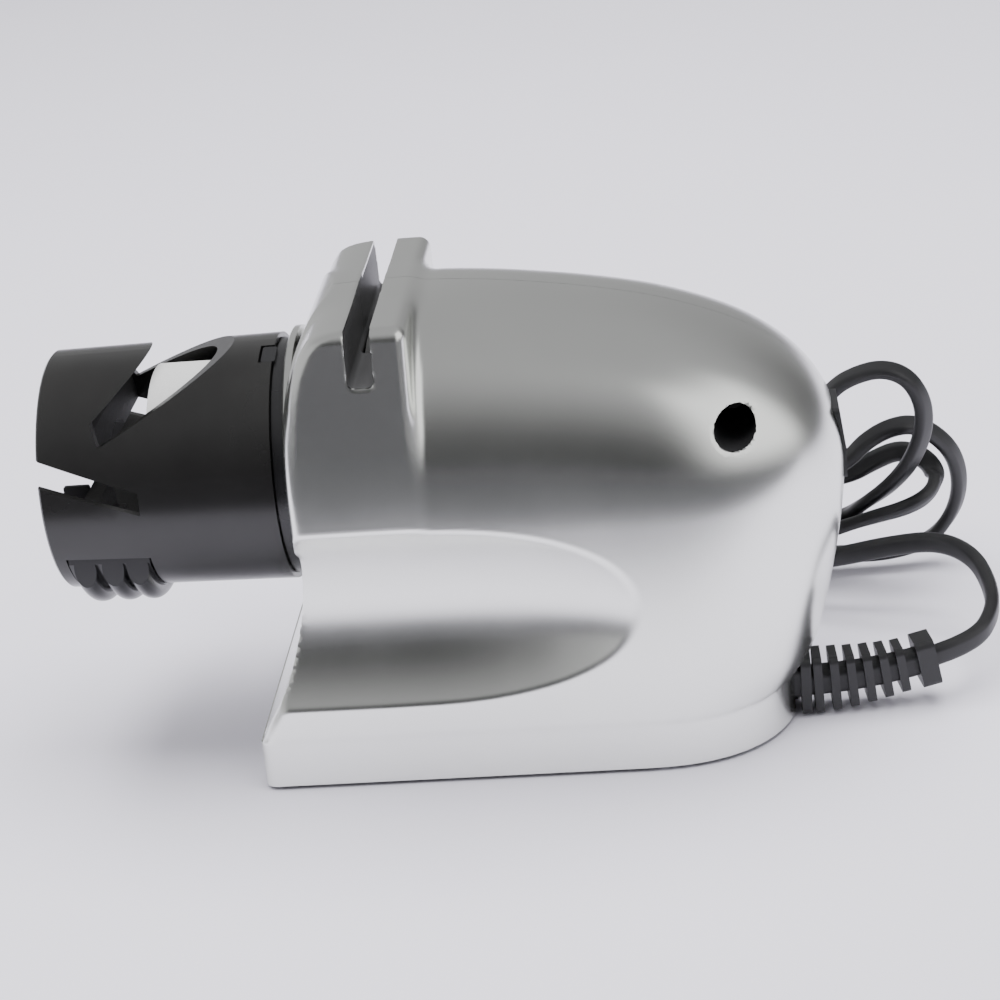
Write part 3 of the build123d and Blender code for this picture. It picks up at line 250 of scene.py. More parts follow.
def on_plane(x, u, v=0.0):
    """A point of the leaning hank's plane: x along the machine, u up the plane, v towards the machine."""
    return (x * MM, (66.0 - u * math.sin(LEAN) - v * math.cos(LEAN)) * MM,
            (u * math.cos(LEAN) - v * math.sin(LEAN)) * MM)


route = [(0.108031, -0.009255, 0.010736), (0.117677, -0.007516, 0.012722), (0.1232, 0.002, 0.0156),
         (0.1236, 0.0135, 0.0174), (0.121, 0.0245, 0.0199), (0.1135, 0.0325, 0.0208), (0.102, 0.0362, 0.0184),
         (0.089, 0.039, 0.0148), (0.076, 0.043, 0.0118), (0.065, 0.0505, 0.010)]

# Turns of the hank as (x, u, v, twist of the flat cord in degrees): from the route's end to the left, three
# left loops, three right loops, and the last run under the hank to the plug.
turns = [
    (57.8, 15.2, 6.2, 0), (52, 18.1, 3, 0), (44.8, 18.6, 2.9, 0), (39.4, 16.9, 2.9, 0), (33.8, 13.6, 2.9, 0),
    (25.8, 11, 2.9, 0), (17.8, 13.2, 2.9, 0), (12, 19, 2.9, 0), (9.9, 27, 2.9, 0), (12, 35, 2.9, 0),
    (17.8, 40.8, 2.9, 0), (25.8, 43, 2.9, 0), (33.8, 40.5, 2.9, 0), (39.6, 36.5, 2.9, 0), (45.4, 33.2, 2.9, 0),
    (51.8, 30.6, 2.9, 0), (59.7, 31.1, 2.8, 0), (70, 36.9, 3.4, 0), (80, 46.4, 4, 0), (89.8, 60.5, 4.6, 0),
    (95.3, 64.5, 5.2, 0), (101.9, 66.5, 5.8, 5), (107.9, 64, 6.4, 18), (111.4, 57.6, 7.1, 35),
    (112.1, 50.5, 7.3, 50), (110.8, 43.1, 6.9, 58), (107.9, 35.1, 5.5, 58), (103.1, 27.4, 3.5, 50),
    (97.6, 21.6, 1.7, 35), (92.2, 14.2, -1.8, 15), (80.3, 11.5, -3.1, 0), (70, 14.5, -2.9, 0),
    (59.8, 19.7, -2.9, 0), (51.1, 22.6, -2.9, 0), (45.3, 20.9, -2.9, 0), (39.3, 17.5, -2.9, 0),
    (33.8, 13.5, -2.9, 0), (25.8, 11, -2.9, 0), (17.8, 13.2, -2.9, 0), (12, 19, -2.9, 0), (9.9, 27, -2.9, 0),
    (12, 35, -2.9, 0), (17.8, 40.8, -2.9, 0), (25.8, 43, -2.9, 0), (33.8, 40.6, -2.9, 0), (39.6, 36.1, -2.9, 0),
    (45.5, 32.5, -2.9, 0), (51.6, 29.7, -2.9, 0), (60.9, 28.3, -2.9, 0), (70.9, 27.7, -2.9, 0),
    (81.9, 26.6, -2.9, 15), (93.6, 27.4, -3, 35), (100.3, 29.4, -5.7, 52), (106.6, 30.8, -7.7, 58),
    (111.4, 30.3, -6.4, 58), (114.6, 29.4, -3.1, 58), (115.6, 28.5, 1.2, 58), (114.3, 27.8, 5.4, 58),
    (111.4, 27.1, 8.6, 58), (106.3, 25.4, 9.8, 55), (99.3, 21.9, 7.9, 50), (91.8, 16.6, 4.5, 35),
    (80.9, 12.2, 3.6, 15), (70.6, 14.2, 2.9, 0), (59.6, 19.4, 2.9, 0), (51.6, 23.1, 3, 0), (45.2, 22.2, 6.2, 0),
    (39.4, 18.4, 7.9, 0), (33.8, 13.3, 8.8, 0), (25.8, 11, 8.7, 0), (17.8, 13.2, 8.7, 0), (12, 19, 8.7, 0),
    (9.9, 27, 8.7, 0), (12, 35, 8.7, 0), (17.8, 40.8, 8.7, 0), (25.8, 42.9, 8.7, 0), (33.8, 40.8, 8.7, 0),
    (39.6, 34.8, 8.7, 0), (45.6, 29, 7.3, 0), (51.6, 26.2, 3.4, 0), (60.7, 25.9, 2.9, 0), (72, 26.5, 2.6, 0),
    (83, 29.7, 2, 0), (93.9, 35.5, 1.1, 5), (97.7, 39.4, -0.4, 10), (103.9, 42.5, -1.8, 15),
    (110.4, 42.3, -3.3, 20), (116.3, 37.4, -4.3, 25), (120.5, 31.2, -4.6, 30), (122.3, 23.3, -4.7, 32),
    (121.6, 15.7, -4.1, 32), (118.4, 9.8, -2.7, 28), (113.7, 6.2, -0.5, 20), (107.4, 5.3, 1.1, 12),
    (100.4, 4.9, 1.9, 5), (93.4, 5.2, 1.8, 0), (80.8, 5.5, 1.6, 0), (70, 6.8, 1.4, 0), (59, 8.1, 1.3, 0),
    (47.8, 8.7, 1.7, 0), (38.1, 8.5, 2.6, 0), (27.7, 7.7, 3.5, 0),
]
tail = [(0.0195, 0.0601, 0.0073), (0.0120, 0.0600, 0.0072)]
cord_points = route + [on_plane(*p[:3]) for p in turns] + tail
twists = [0.0] * len(route) + [p[3] for p in turns] + [0.0] * len(tail)

curve = bpy.data.curves.new("cord_line", "CURVE")
curve.dimensions = "3D"
spline = curve.splines.new("NURBS")
spline.points.add(len(cord_points) - 1)
for sp, p in zip(spline.points, cord_points):
    sp.co = (*p, 1.0)
spline.order_u = 3
spline.use_endpoint_u = True
spline.resolution_u = 14
curve.resolution_u = 14
line_ob = bpy.data.objects.new("cord_line", curve)
scene.collection.objects.link(line_ob)
bpy.context.view_layer.update()
line_mesh = bpy.data.meshes.new_from_object(line_ob)
path = np.array([v.co for v in line_mesh.vertices], float)
bpy.data.objects.remove(line_ob)
bpy.data.meshes.remove(line_mesh)
spans = len(cord_points) - 2
along = np.interp(np.linspace(0, spans, len(path)), [0] + [i + 0.5 for i in range(spans)] + [spans], twists)
steps = np.linalg.norm(np.diff(path, axis=0), axis=1)
keep = np.concatenate([[True], steps > 1e-7])
path, along = path[keep], along[keep]
steps = np.linalg.norm(np.diff(path, axis=0), axis=1)
run = np.concatenate([[0], np.cumsum(steps)])
cord_length = float(run[-1])
print("cord length", round(cord_length, 4), "points", len(path))

# flat twin section: 5.2 wide, 3.4 thick, with a shallow groove along each flat side
SECTION = []
for i in range(28):
    t = 2 * math.pi * (i + 0.5) / 28
    x, y = 0.9 * math.copysign(1.0, math.cos(t)) + 1.7 * math.cos(t), 1.7 * math.sin(t)
    SECTION.append((x * MM, y * (1 - 0.16 * math.exp(-(x / 0.7) ** 2)) * MM))
normal_up = np.array([0.0, 0.0, 1.0])
normal_hank = np.array([0.0, -math.cos(LEAN), -math.sin(LEAN)])


def tube_along(path, section, hint_at, twist_at):
    tangent = np.gradient(path, axis=0)
    tangent /= np.linalg.norm(tangent, axis=1)[:, None]
    verts, faces = [], []
    n = len(section)
    for i, (p, t) in enumerate(zip(path, tangent)):
        w = hint_at(i)
        w = w - t * (w @ t)
        w /= np.linalg.norm(w)
        b = np.cross(t, w)
        a = math.radians(twist_at[i])
        w, b = w * math.cos(a) + b * math.sin(a), b * math.cos(a) - w * math.sin(a)
        for x, y in section:
            verts.append(p + w * x + b * y)
        if i:
            o = (i - 1) * n
            for j in range(n):
                k = (j + 1) % n
                faces.append((o + j, o + k, o + n + k, o + n + j))
    return verts, faces


def cord_hint(i):
    s = (run[i] - 0.070) / 0.050
    s = min(1.0, max(0.0, s))
    s = s * s * (3 - 2 * s)
    a = s * math.pi / 2
    end = (cord_length - run[i]) / 0.035
    if end < 1.0:
        e = 1 - max(0.0, end)
        e = e * e * (3 - 2 * e)
        w = normal_hank * (1 - e) + np.array([0.0, -1.0, 0.0]) * e
        return w / np.linalg.norm(w)
    return normal_up * math.cos(a) + normal_hank * math.sin(a)


verts, faces = tube_along(path, SECTION, cord_hint, along)
n = len(SECTION)
me = bpy.data.meshes.new("free_cord")
caps = [tuple(range(n - 1, -1, -1)), tuple(range(len(verts) - n, len(verts)))]
me.from_pydata([tuple(v) for v in verts], [], [tuple(reversed(f)) for f in faces] + [tuple(reversed(c)) for c in caps])
me.validate()
me.shade_smooth()
me.set_sharp_from_angle(angle=math.radians(50))
free_cord = piece("free_cord", me, "cord_jacket", "housing", ("cord", "cord_hank", "cord_tail"))

# ------------------------------------------------------------------ fields and their meshes
def dual_contour(field, lo, hi, h, snap_y=None, sharp=True):
    """Closed quad mesh of the zero level of field, whose values are negative inside. Millimetres."""
    lo, hi = np.array(lo, float), np.array(hi, float)
    k = 4
    cells = (np.ceil((hi - lo) / (h * k)).astype(int)) * k
    nn = cells + 1
    cc = cells // k
    ax = [lo[i] + h * k * (np.arange(cc[i]) + 0.5) for i in range(3)]
    cx, cy, cz = np.meshgrid(*ax, indexing="ij")
    fc = field(cx.ravel(), cy.ravel(), cz.ravel()).reshape(cc)
    near = np.abs(fc) < 6.2 * h
    F = np.empty(tuple(nn), np.float32)
    big = np.repeat(np.repeat(np.repeat(fc, k, 0), k, 1), k, 2).astype(np.float32)
    F[:-1, :-1, :-1] = big
    F[-1, :, :] = F[-2, :, :]
    F[:, -1, :] = F[:, -2, :]
    F[:, :, -1] = F[:, :, -2]
    nm = np.repeat(np.repeat(np.repeat(near, k, 0), k, 1), k, 2)
    mask = np.zeros(tuple(nn), bool)
    for dx in (0, 1):
        for dy in (0, 1):
            for dz in (0, 1):
                mask[dx:dx + cells[0], dy:dy + cells[1], dz:dz + cells[2]] |= nm
    idx = np.nonzero(mask.ravel())[0]
    ix, iy, iz = np.unravel_index(idx, tuple(nn))
    F.ravel()[idx] = field(lo[0] + h * ix, lo[1] + h * iy, lo[2] + h * iz)
    F[0], F[-1], F[:, 0], F[:, -1], F[:, :, 0], F[:, :, -1] = (np.maximum(a, 1e-3) for a in (
        F[0], F[-1], F[:, 0], F[:, -1], F[:, :, 0], F[:, :, -1]))
    inside = F < 0
    stride = np.array([nn[1] * nn[2], nn[2], 1])
    cstride = np.array([cells[1] * cells[2], cells[2], 1])
    pts, owner, quads, grads = [], [], [], []
    for a in range(3):
        sl0 = [slice(None)] * 3
        sl1 = [slice(None)] * 3
        sl0[a], sl1[a] = slice(0, -1), slice(1, None)
        cross = inside[tuple(sl0)] != inside[tuple(sl1)]
        e = np.array(np.nonzero(cross))
        f0 = F[tuple(sl0)][cross].astype(float)
        f1 = F[tuple(sl1)][cross].astype(float)
        t = f0 / (f0 - f1)
        p = lo[:, None] + h * e.astype(float)
        p[a] += h * t
        # bisection makes the crossing exact
        p0 = lo[:, None] + h * e.astype(float)
        ta, tb = np.zeros_like(t), np.ones_like(t)
        neg0 = f0 < 0
        for _ in range(5):
            q = p0.copy()
            q[a] += h * t
            fv = field(q[0], q[1], q[2])
            same = (fv < 0) == neg0
            ta = np.where(same, t, ta)
            tb = np.where(same, tb, t)
            fa = np.where(same, fv, f0)
            fb = np.where(same, f1, fv)
            f0, f1 = fa, fb
            den = fa - fb
            t2 = ta + (tb - ta) * np.where(np.abs(den) > 1e-12, fa / den, 0.5)
            t = np.clip(t2, ta + 0.02 * (tb - ta), tb - 0.02 * (tb - ta))
        p = p0
        p[a] += h * t
        b, c = (a + 1) % 3, (a + 2) % 3
        four = []
        for db, dc in ((-1, -1), (0, -1), (0, 0), (-1, 0)):
            cell = e.copy()
            cell[b] += db
            cell[c] += dc
            four.append((cell * cstride[:, None]).sum(0))
        four = np.array(four)
        flip = inside[tuple(sl0)][cross]
        q = np.where(flip[None, :], four, four[::-1])
        quads.append(q.T)
        g = np.empty((p.shape[1], 3))
        for i in range(3):
            d = np.zeros((3, 1))
            d[i] = 0.02
            g[:, i] = field(*(p + d)) - field(*(p - d))
        g /= np.maximum(np.linalg.norm(g, axis=1), 1e-12)[:, None]
        for r in range(4):
            pts.append(p.T)
            grads.append(g)
            owner.append(four[r])
    pts, owner, nrm = np.concatenate(pts), np.concatenate(owner), np.concatenate(grads)
    quads = np.concatenate(quads)
    ids, inv = np.unique(owner, return_inverse=True)
    nv = len(ids)
    eps = 0.02
    cnt = np.bincount(inv, minlength=nv).astype(float)
    mean = np.stack([np.bincount(inv, pts[:, i], nv) for i in range(3)], 1) / cnt[:, None]
    rel = pts - mean[inv]
    dist = (nrm * rel).sum(1)
    A = np.zeros((nv, 3, 3))
    B = np.zeros((nv, 3))
    for i in range(3):
        B[:, i] = np.bincount(inv, nrm[:, i] * dist, nv)
        for j in range(i, 3):
            A[:, i, j] = A[:, j, i] = np.bincount(inv, nrm[:, i] * nrm[:, j], nv)
    lam = 0.06 * cnt
    for i in range(3):
        A[:, i, i] += lam
    x = np.linalg.solve(A, B[:, :, None])[:, :, 0]
    lim = 0.9 * h
    v = mean + np.clip(x, -lim, lim)
    cid = np.array(np.unravel_index(ids, tuple(cells))).T
    c0 = lo + h * cid
    v = np.clip(v, c0 - 0.1 * h, c0 + 1.1 * h)
    faces = np.searchsorted(ids, quads)
    if snap_y is not None:
        layer, at, clip_field = snap_y
        on = (cid[:, 1] == layer)
        q = v[on].copy()
        q[:, 1] = at
        f_here = clip_field(q[:, 0], q[:, 1], q[:, 2])
        rim = f_here > -0.45 * h
        # corner cells are put where the surface meets the seam plane
        mixed = np.zeros(len(q), bool)
        lows = cid[on]
        vals = []
        for dx in (0, 1):
            for dz in (0, 1):
                vals.append(clip_field(lo[0] + h * (lows[:, 0] + dx), np.full(len(lows), at), lo[2] + h * (lows[:, 2] + dz)))
        vals = np.array(vals)
        mixed = (vals.min(0) < 0) & (vals.max(0) > 0)
        for _ in range(4):
            f_here = clip_field(q[:, 0], q[:, 1], q[:, 2])
            gx = (clip_field(q[:, 0] + eps, q[:, 1], q[:, 2]) - clip_field(q[:, 0] - eps, q[:, 1], q[:, 2])) / (2 * eps)
            gz = (clip_field(q[:, 0], q[:, 1], q[:, 2] + eps) - clip_field(q[:, 0], q[:, 1], q[:, 2] - eps)) / (2 * eps)
            gg = np.maximum(gx * gx + gz * gz, 1e-3)
            s = np.where(mixed, np.clip(f_here / gg, -0.4 * h, 0.4 * h), 0.0)
            q[:, 0] -= s * gx
            q[:, 2] -= s * gz
        v[on] = q
    return v, faces


def cubic_table(t, y, n=3000):
    """Natural cubic spline through (t, y), sampled finely."""
    t, y = np.array(t, float), np.array(y, float)
    m = len(t)
    hh = np.diff(t)
    M = np.zeros((m, m))
    r = np.zeros(m)
    M[0, 0] = M[-1, -1] = 1
    for i in range(1, m - 1):
        M[i, i - 1], M[i, i], M[i, i + 1] = hh[i - 1], 2 * (hh[i - 1] + hh[i]), hh[i]
        r[i] = 6 * ((y[i + 1] - y[i]) / hh[i] - (y[i] - y[i - 1]) / hh[i - 1])
    k = np.linalg.solve(M, r)
    s = np.linspace(t[0], t[-1], n)
    i = np.clip(np.searchsorted(t, s) - 1, 0, m - 2)
    a, b, hi = s - t[i], t[i + 1] - s, hh[i]
    return s, (k[i] * b ** 3 + k[i + 1] * a ** 3) / (6 * hi) + (y[i] / hi - k[i] * hi / 6) * b + (
        y[i + 1] / hi - k[i + 1] * hi / 6) * a


def blend_min(a, b, r):
    """Union with a fillet of about r."""
    e = np.maximum(r - np.abs(a - b), 0.0) / r
    return np.minimum(a, b) - e * e * r * 0.25


def blend_max(a, b, r):
    return -blend_min(-a, -b, r)


def round_max(r, *ds):
    """Intersection with its edges rounded to r."""
    s = 0.0
    m = None
    for d in ds:
        q = d + r
        s = s + np.maximum(q, 0.0) ** 2
        m = q if m is None else np.maximum(m, q)
    return np.minimum(m, 0.0) + np.sqrt(s) - r


# silhouette of the body in the seam plane, from the flat top over the tail down to the plinth
sil = np.array([(-10.0, 107.1), (-4.0, 107.1), (2.0, 107.0), (8.0, 106.6), (16.0, 105.8), (24.0, 104.7), (32.0, 103.45),
                (40.0, 101.9), (48.0, 100.0), (56.0, 97.5), (63.0, 94.8), (69.0, 91.9), (74.5, 88.4), (79.0, 84.7),
                (82.8, 80.5), (85.8, 75.8), (87.9, 70.6), (89.1, 65.8), (89.5, 61.0), (89.35, 55.5), (88.6, 48.0),
                (87.1, 39.0), (85.4, 31.0), (83.4, 23.0), (81.2, 17.0), (77.9, 12.0)])
chord = np.concatenate([[0], np.cumsum(np.linalg.norm(np.diff(sil, axis=0), axis=1))])
_, sx = cubic_table(chord, sil[:, 0])
_, sz = cubic_table(chord, sil[:, 1])
turn_i = int(np.argmax(sx))
widest = sz[turn_i]
TAIL_X = float(sx[turn_i])
top_xs, top_zs = sx[:turn_i + 1], sz[:turn_i + 1]
low_zs, low_xs = sz[turn_i:][::-1], sx[turn_i:][::-1]
order = np.argsort(top_xs)
top_xs, top_zs = top_xs[order], top_zs[order]
front_zs, front_xs = cubic_table([12.0, 17.0, 23.0, 31.0, 39.0, 48.0, 56.0, 62.0, 70.0],
                                 [-45.6, -43.0, -39.5, -36.4, -34.2, -32.7, -32.0, -32.0, -32.0])
HALF = 38.35


def body_field(x, y, z):
    """The main body without tower, scoops or openings, open downwards."""
    ay = np.abs(y)
    # below the widest level
    zc = np.clip(z, 12.0, widest)
    xt = np.interp(zc, low_zs, low_xs)
    xt = np.where(z < 12.0, 77.2, xt)
    xf = np.interp(zc, front_zs, front_xs)
    xf = np.where(z < 12.0, -46.0, xf)
    w = np.where(z < 12.0, 38.25, HALF)
    a = np.maximum(x - 40.0, 0.0) / (xt - 40.0)
    b = ay / w
    n = 2.4
    q = np.maximum(a ** n + b ** n, 1e-9)
    G = q ** (1 / n)
    pre = q ** (1 / n - 1)
    ga = pre * a ** (n - 1) / (xt - 40.0)
    gb = pre * b ** (n - 1) / w
    low = (G - 1) / np.maximum(np.hypot(ga, gb), 1e-3)
    low = round_max(2.6, low, (xf - x) * 0.93)
    # above it
    xs = np.clip(x, -10.0, TAIL_X - 0.02)
    h = np.maximum(np.interp(xs, top_xs, top_zs) - widest, 0.15)
    u = np.clip((xs - 40.0) / (TAIL_X - 40.0), 0.0, 1.0)
    wx = np.maximum(HALF * (1 - u ** n) ** (1 / n), 0.6)
    m = 2.3
    zz = np.maximum(z - widest, 0.0)
    a2, b2 = ay / wx, zz / h
    q2 = np.maximum(a2 ** m + b2 ** m, 1e-9)
    G2 = q2 ** (1 / m)
    pre2 = q2 ** (1 / m - 1)
    gy, gz = pre2 * a2 ** (m - 1) / wx, pre2 * b2 ** (m - 1) / h
    slope_x = 0.5
    dh = (np.interp(np.minimum(xs + slope_x, TAIL_X - 0.02), top_xs, top_zs) - np.interp(xs - slope_x, top_xs, top_zs)) / (2 * slope_x)
    u1 = np.clip((xs + slope_x - 40.0) / (TAIL_X - 40.0), 0.0, 1.0)
    u0 = np.clip((xs - slope_x - 40.0) / (TAIL_X - 40.0), 0.0, 1.0)
    dw = HALF * ((1 - u1 ** n) ** (1 / n) - (1 - u0 ** n) ** (1 / n)) / (2 * slope_x)
    gx = pre2 * (-a2 ** m * dw / wx - b2 ** m * dh / h)
    up = (G2 - 1) / np.maximum(np.sqrt(gx * gx + gy * gy + gz * gz), 1e-3)
    up = np.where(x > TAIL_X - 0.02, np.maximum(up, x - TAIL_X + 0.02), up)
    up = round_max(1.6, up, -32.0 - x)
    return np.where(z < widest, low, up)


tower_c = np.array([(-32.0, 60.0), (-31.95, 73.0), (-31.5, 84.0), (-30.4, 92.5), (-28.9, 98.2), (-26.9, 102.6),
                    (-24.5, 105.6), (-21.4, 107.35), (-17.5, 107.9)])
tc = np.concatenate([[0], np.cumsum(np.linalg.norm(np.diff(tower_c, axis=0), axis=1))])
_, tower_fx = cubic_table(tc, tower_c[:, 0])
_, tower_fz = cubic_table(tc, tower_c[:, 1])


def tower_front(x, z):
    """Signed distance to the leaning front and the flat top of the tower, negative inside."""
    i = np.clip(z, 60.0, 107.85)
    xf = np.interp(i, tower_fz, tower_fx)
    slope = (np.interp(np.minimum(i + 0.3, 107.85), tower_fz, tower_fx) - np.interp(i - 0.3, tower_fz, tower_fx)) / 0.6
    front = (xf - x) / np.sqrt(1 + slope ** 2)
    return np.maximum(front, z - 107.5)


def tower_field(x, y, z):
    ay = np.abs(y)
    rise = np.clip(z - 68.0, 0.0, 20.0)
    w = 37.95 - 0.147 * (rise ** 2 / 40.0 + np.maximum(z - 88.0, 0.0))
    side = (ay - w) / np.sqrt(1 + (0.147 * rise / 20.0) ** 2)
    i = np.clip(z, 60.0, 107.85)
    xf = np.interp(i, tower_fz, tower_fx)
    slope = (np.interp(np.minimum(i + 0.3, 107.85), tower_fz, tower_fx) - np.interp(i - 0.3, tower_fz, tower_fx)) / 0.6
    front = (xf - x) / np.sqrt(1 + slope ** 2)
    top = z - 107.5
    rear = x + 3.5
    return np.maximum(round_max(2.6, side, front, top, rear), 58.0 - z)


def scoop_field(x, y, z):
    """Negative inside the hollows at the sides."""
    rho = np.hypot(np.abs(y) - 64.0, z - 41.0)
    r = np.interp(x, scoop_xs, scoop_rs)
    return (rho - r) / np.sqrt(1 + np.interp(x, scoop_xs, scoop_slope) ** 2)


scoop_xs, scoop_rs = cubic_table([-70.0, -40.0, -8.0, 2.0, 9.0, 16.0, 23.0, 29.0, 34.5, 39.0, 43.0, 47.0, 50.0],
                                 [33.0, 33.0, 33.0, 32.8, 32.4, 31.7, 30.7, 29.5, 28.1, 26.6, 25.0, 23.2, 21.5])
scoop_slope = np.gradient(scoop_rs, scoop_xs)


def channel_field(x, y, z):
    """Negative inside the knife slot."""
    ax = np.abs(x + 13.95)
    return round_max(1.5, ax - 2.85, 95.0 - z)


def closed_body(x, y, z):
    """Body and tower, with the scoops, without slot, open downwards."""
    b, t = body_field(x, y, z), tower_field(x, y, z)
    # the body doesn't stand out of the tower's leaning front
    tf = tower_front(x, z)
    b = np.where(z > 60.0, np.maximum(b, tf), b)
    f = blend_min(b, t, 3.2)
    return blend_max(f, -scoop_field(x, y, z), 0.55)


def seg_poly(y, z, pts):
    """Signed distance to a polygon in the YZ plane."""
    d = np.full(y.shape, 1e9)
    s = np.ones(y.shape)
    m = len(pts)
    for i in range(m):
        ay, az = pts[i]
        by, bz = pts[i - 1]
        ey, ez = by - ay, bz - az
        wy, wz = y - ay, z - az
        t = np.clip((wy * ey + wz * ez) / (ey * ey + ez * ez), 0, 1)
        d = np.minimum(d, (wy - ey * t) ** 2 + (wz - ez * t) ** 2)
        c1, c2, c3 = z >= az, z < bz, ey * wz > ez * wy
        both = (c1 & c2 & c3) | (~c1 & ~c2 & ~c3)
        s = np.where(both, -s, s)
    return s * np.sqrt(d)


PANEL = [(-35.2, 4.6), (35.2, 4.6), (35.2, 19.5), (28.0, 26.5), (28.0, 35.0), (-28.0, 35.0), (-28.0, 26.5),
         (-35.2, 19.5)]


def housing_field(x, y, z):
    solid = closed_body(x, y, z)
    chan = channel_field(x, y, z)
    outer = np.maximum(blend_max(solid, -chan, 0.5), 1.0 - z)
    inner = np.maximum(solid + 2.4, 2.2 - chan)
    f = np.maximum(outer, -inner)
    rho = np.hypot(y, z - 67.0)
    seat = np.maximum(np.maximum(outer, rho - 31.5), np.maximum(x + 28.0, -32.1 - x))
    f = np.minimum(f, seat)
    f = np.maximum(f, -np.maximum(rho - 28.6, np.maximum(-28.0 - x, x + 25.7)))
    eye = np.hypot(x - 65.0, z - 78.8)
    boss = np.maximum(np.maximum(eye - 6.4, solid + 0.4), y + 0.06)
    f = np.where(y < 0, np.minimum(f, boss), f)
    # openings
    f = np.maximum(f, -np.maximum(seg_poly(y, z, PANEL), x + 30.0))
    f = np.maximum(f, -np.maximum(rho - 24.85, x + 24.0))
    f = np.maximum(f, -round_max(1.0, np.abs(x + 13.95) - 2.4, np.abs(y) - 12.5, 90.0 - z))
    f = np.maximum(f, -np.maximum(np.maximum(np.abs(y) - 5.85, np.abs(z - 64.0) - 7.45), 80.0 - x))
    hole = np.maximum(eye - 4.5, y + 8.0)
    f = np.where(y < 0, blend_max(f, -hole, 0.5), f)
    relief = np.maximum(np.maximum(np.abs(y + 12.0) - 3.1, z - 11.7), 66.0 - x)
    return np.where(y < 0, np.maximum(f, -relief), f)


H = 0.72


def half_shell(side):
    """One housing half as a closed shell. side is -1 for the near half."""
    gap = 0.05

    if side < 0:
        lo_y = -(math.ceil(40.5 / H) + 0.5) * H
        layer_field = lambda x, y, z: np.maximum(housing_field(x, y, z), y + gap)
        lo, hi = (-48.0, lo_y, -1.0), (91.5, 1.6 * H, 109.5)
        layer = int(round(-lo_y / H - 0.5))
        at = -gap
    else:
        lo_y = -1.5 * H
        layer_field = lambda x, y, z: np.maximum(housing_field(x, y, z), gap - y)
        lo, hi = (-48.0, lo_y, -1.0), (91.5, 41.0, 109.5)
        layer = 1
        at = gap
    v, f = dual_contour(layer_field, lo, hi, H, snap_y=(layer, at, housing_field))
    return v, f


for side, name in ((-1, "housing_left"), (1, "housing_right")):
    v, f = half_shell(side)
    print(name, "skin", len(v), "points", len(f), "faces")
    me = mesh_from(name + "_skin", v * MM, f, 40.0)
    skin = piece(name + "_skin", me, "silver_paint", "housing", (name,))
    # unpainted plastic inside the shell and in the screw hole
    skin.data.materials.append(MAT["inner_plastic"])
    centre = v[f].mean(1)
    deep = closed_body(*centre.T) < -0.4
    # the knife slot's deep faces get a dark grey as painted shade in the narrow recess
    skin.data.materials.append(MAT["slot_grey"])
    in_slot = (np.abs(centre[:, 0] + 13.95) < 3.5) & (centre[:, 2] > 94.2)
    kind = np.where(in_slot & (closed_body(*centre.T) < -0.9), 2, np.where(deep & ~in_slot, 1, 0))
    me.polygons.foreach_set("material_index", kind.astype(np.int32))
    me.update()

# ------------------------------------------------------------------ the remaining nodes
record = frame["record"]
slot_of = {p["node"]: p["material_slot"] for p in record["subparts"]}
for name, ob in nodes.items():
    s = slot_of.get(name)
    if s in MAT:
        set_material(ob, s)
    else:
        print("no material for", name, s)

# The collar is glossy outside and dull and grained inside its bore.
cm2, cnt2, cb2 = new_material("collar_plastic")
ctx = cnt2.nodes.new("ShaderNodeTexCoord")
csx = cnt2.nodes.new("ShaderNodeSeparateXYZ")
cnt2.links.new(ctx.outputs["Object"], csx.inputs["Vector"])


def cmath(op, a, b=None):
    m = cnt2.nodes.new("ShaderNodeMath")
    m.operation = op
    for socket, value in zip(m.inputs, (a, b)):
        if isinstance(value, (int, float)):
            socket.default_value = value
        elif value is not None:
            cnt2.links.new(value, socket)
    return m.outputs[0]


cz = cmath("SUBTRACT", csx.outputs["Z"], 0.067)
rho_c = cmath("SQRT", cmath("ADD", cmath("MULTIPLY", csx.outputs["Y"], csx.outputs["Y"]), cmath("MULTIPLY", cz, cz)))
outside = cmath("GREATER_THAN", rho_c, 0.0262)
c_mott = noise(cnt2, 45.0, 4.0, 0.55)
c_fine = noise(cnt2, 1100.0, 3.0, 0.6)
rough_mix = cnt2.nodes.new("ShaderNodeMapRange")
rough_mix.inputs["To Min"].default_value = 0.62
rough_mix.inputs["To Max"].default_value = 0.23
cnt2.links.new(outside, rough_mix.inputs["Value"])
cnt2.links.new(rough_mix.outputs["Result"], cb2.inputs["Roughness"])
cnt2.links.new(ramp(cnt2, c_mott, [(0.3, (0.011, 0.0108, 0.0105)), (0.7, (0.017, 0.0168, 0.0162))]),
               cb2.inputs["Base Color"])
grain_mix = cnt2.nodes.new("ShaderNodeMapRange")
grain_mix.inputs["To Min"].default_value = 0.7
grain_mix.inputs["To Max"].default_value = 0.03
cnt2.links.new(outside, grain_mix.inputs["Value"])
c_bump = cnt2.nodes.new("ShaderNodeBump")
c_bump.inputs["Distance"].default_value = 0.0002
cnt2.links.new(c_fine, c_bump.inputs["Height"])
cnt2.links.new(grain_mix.outputs["Result"], c_bump.inputs["Strength"])
cnt2.links.new(c_bump.outputs["Normal"], cb2.inputs["Normal"])
MAT["collar_plastic"] = cm2
set_material(nodes["guide_collar"], "collar_plastic")


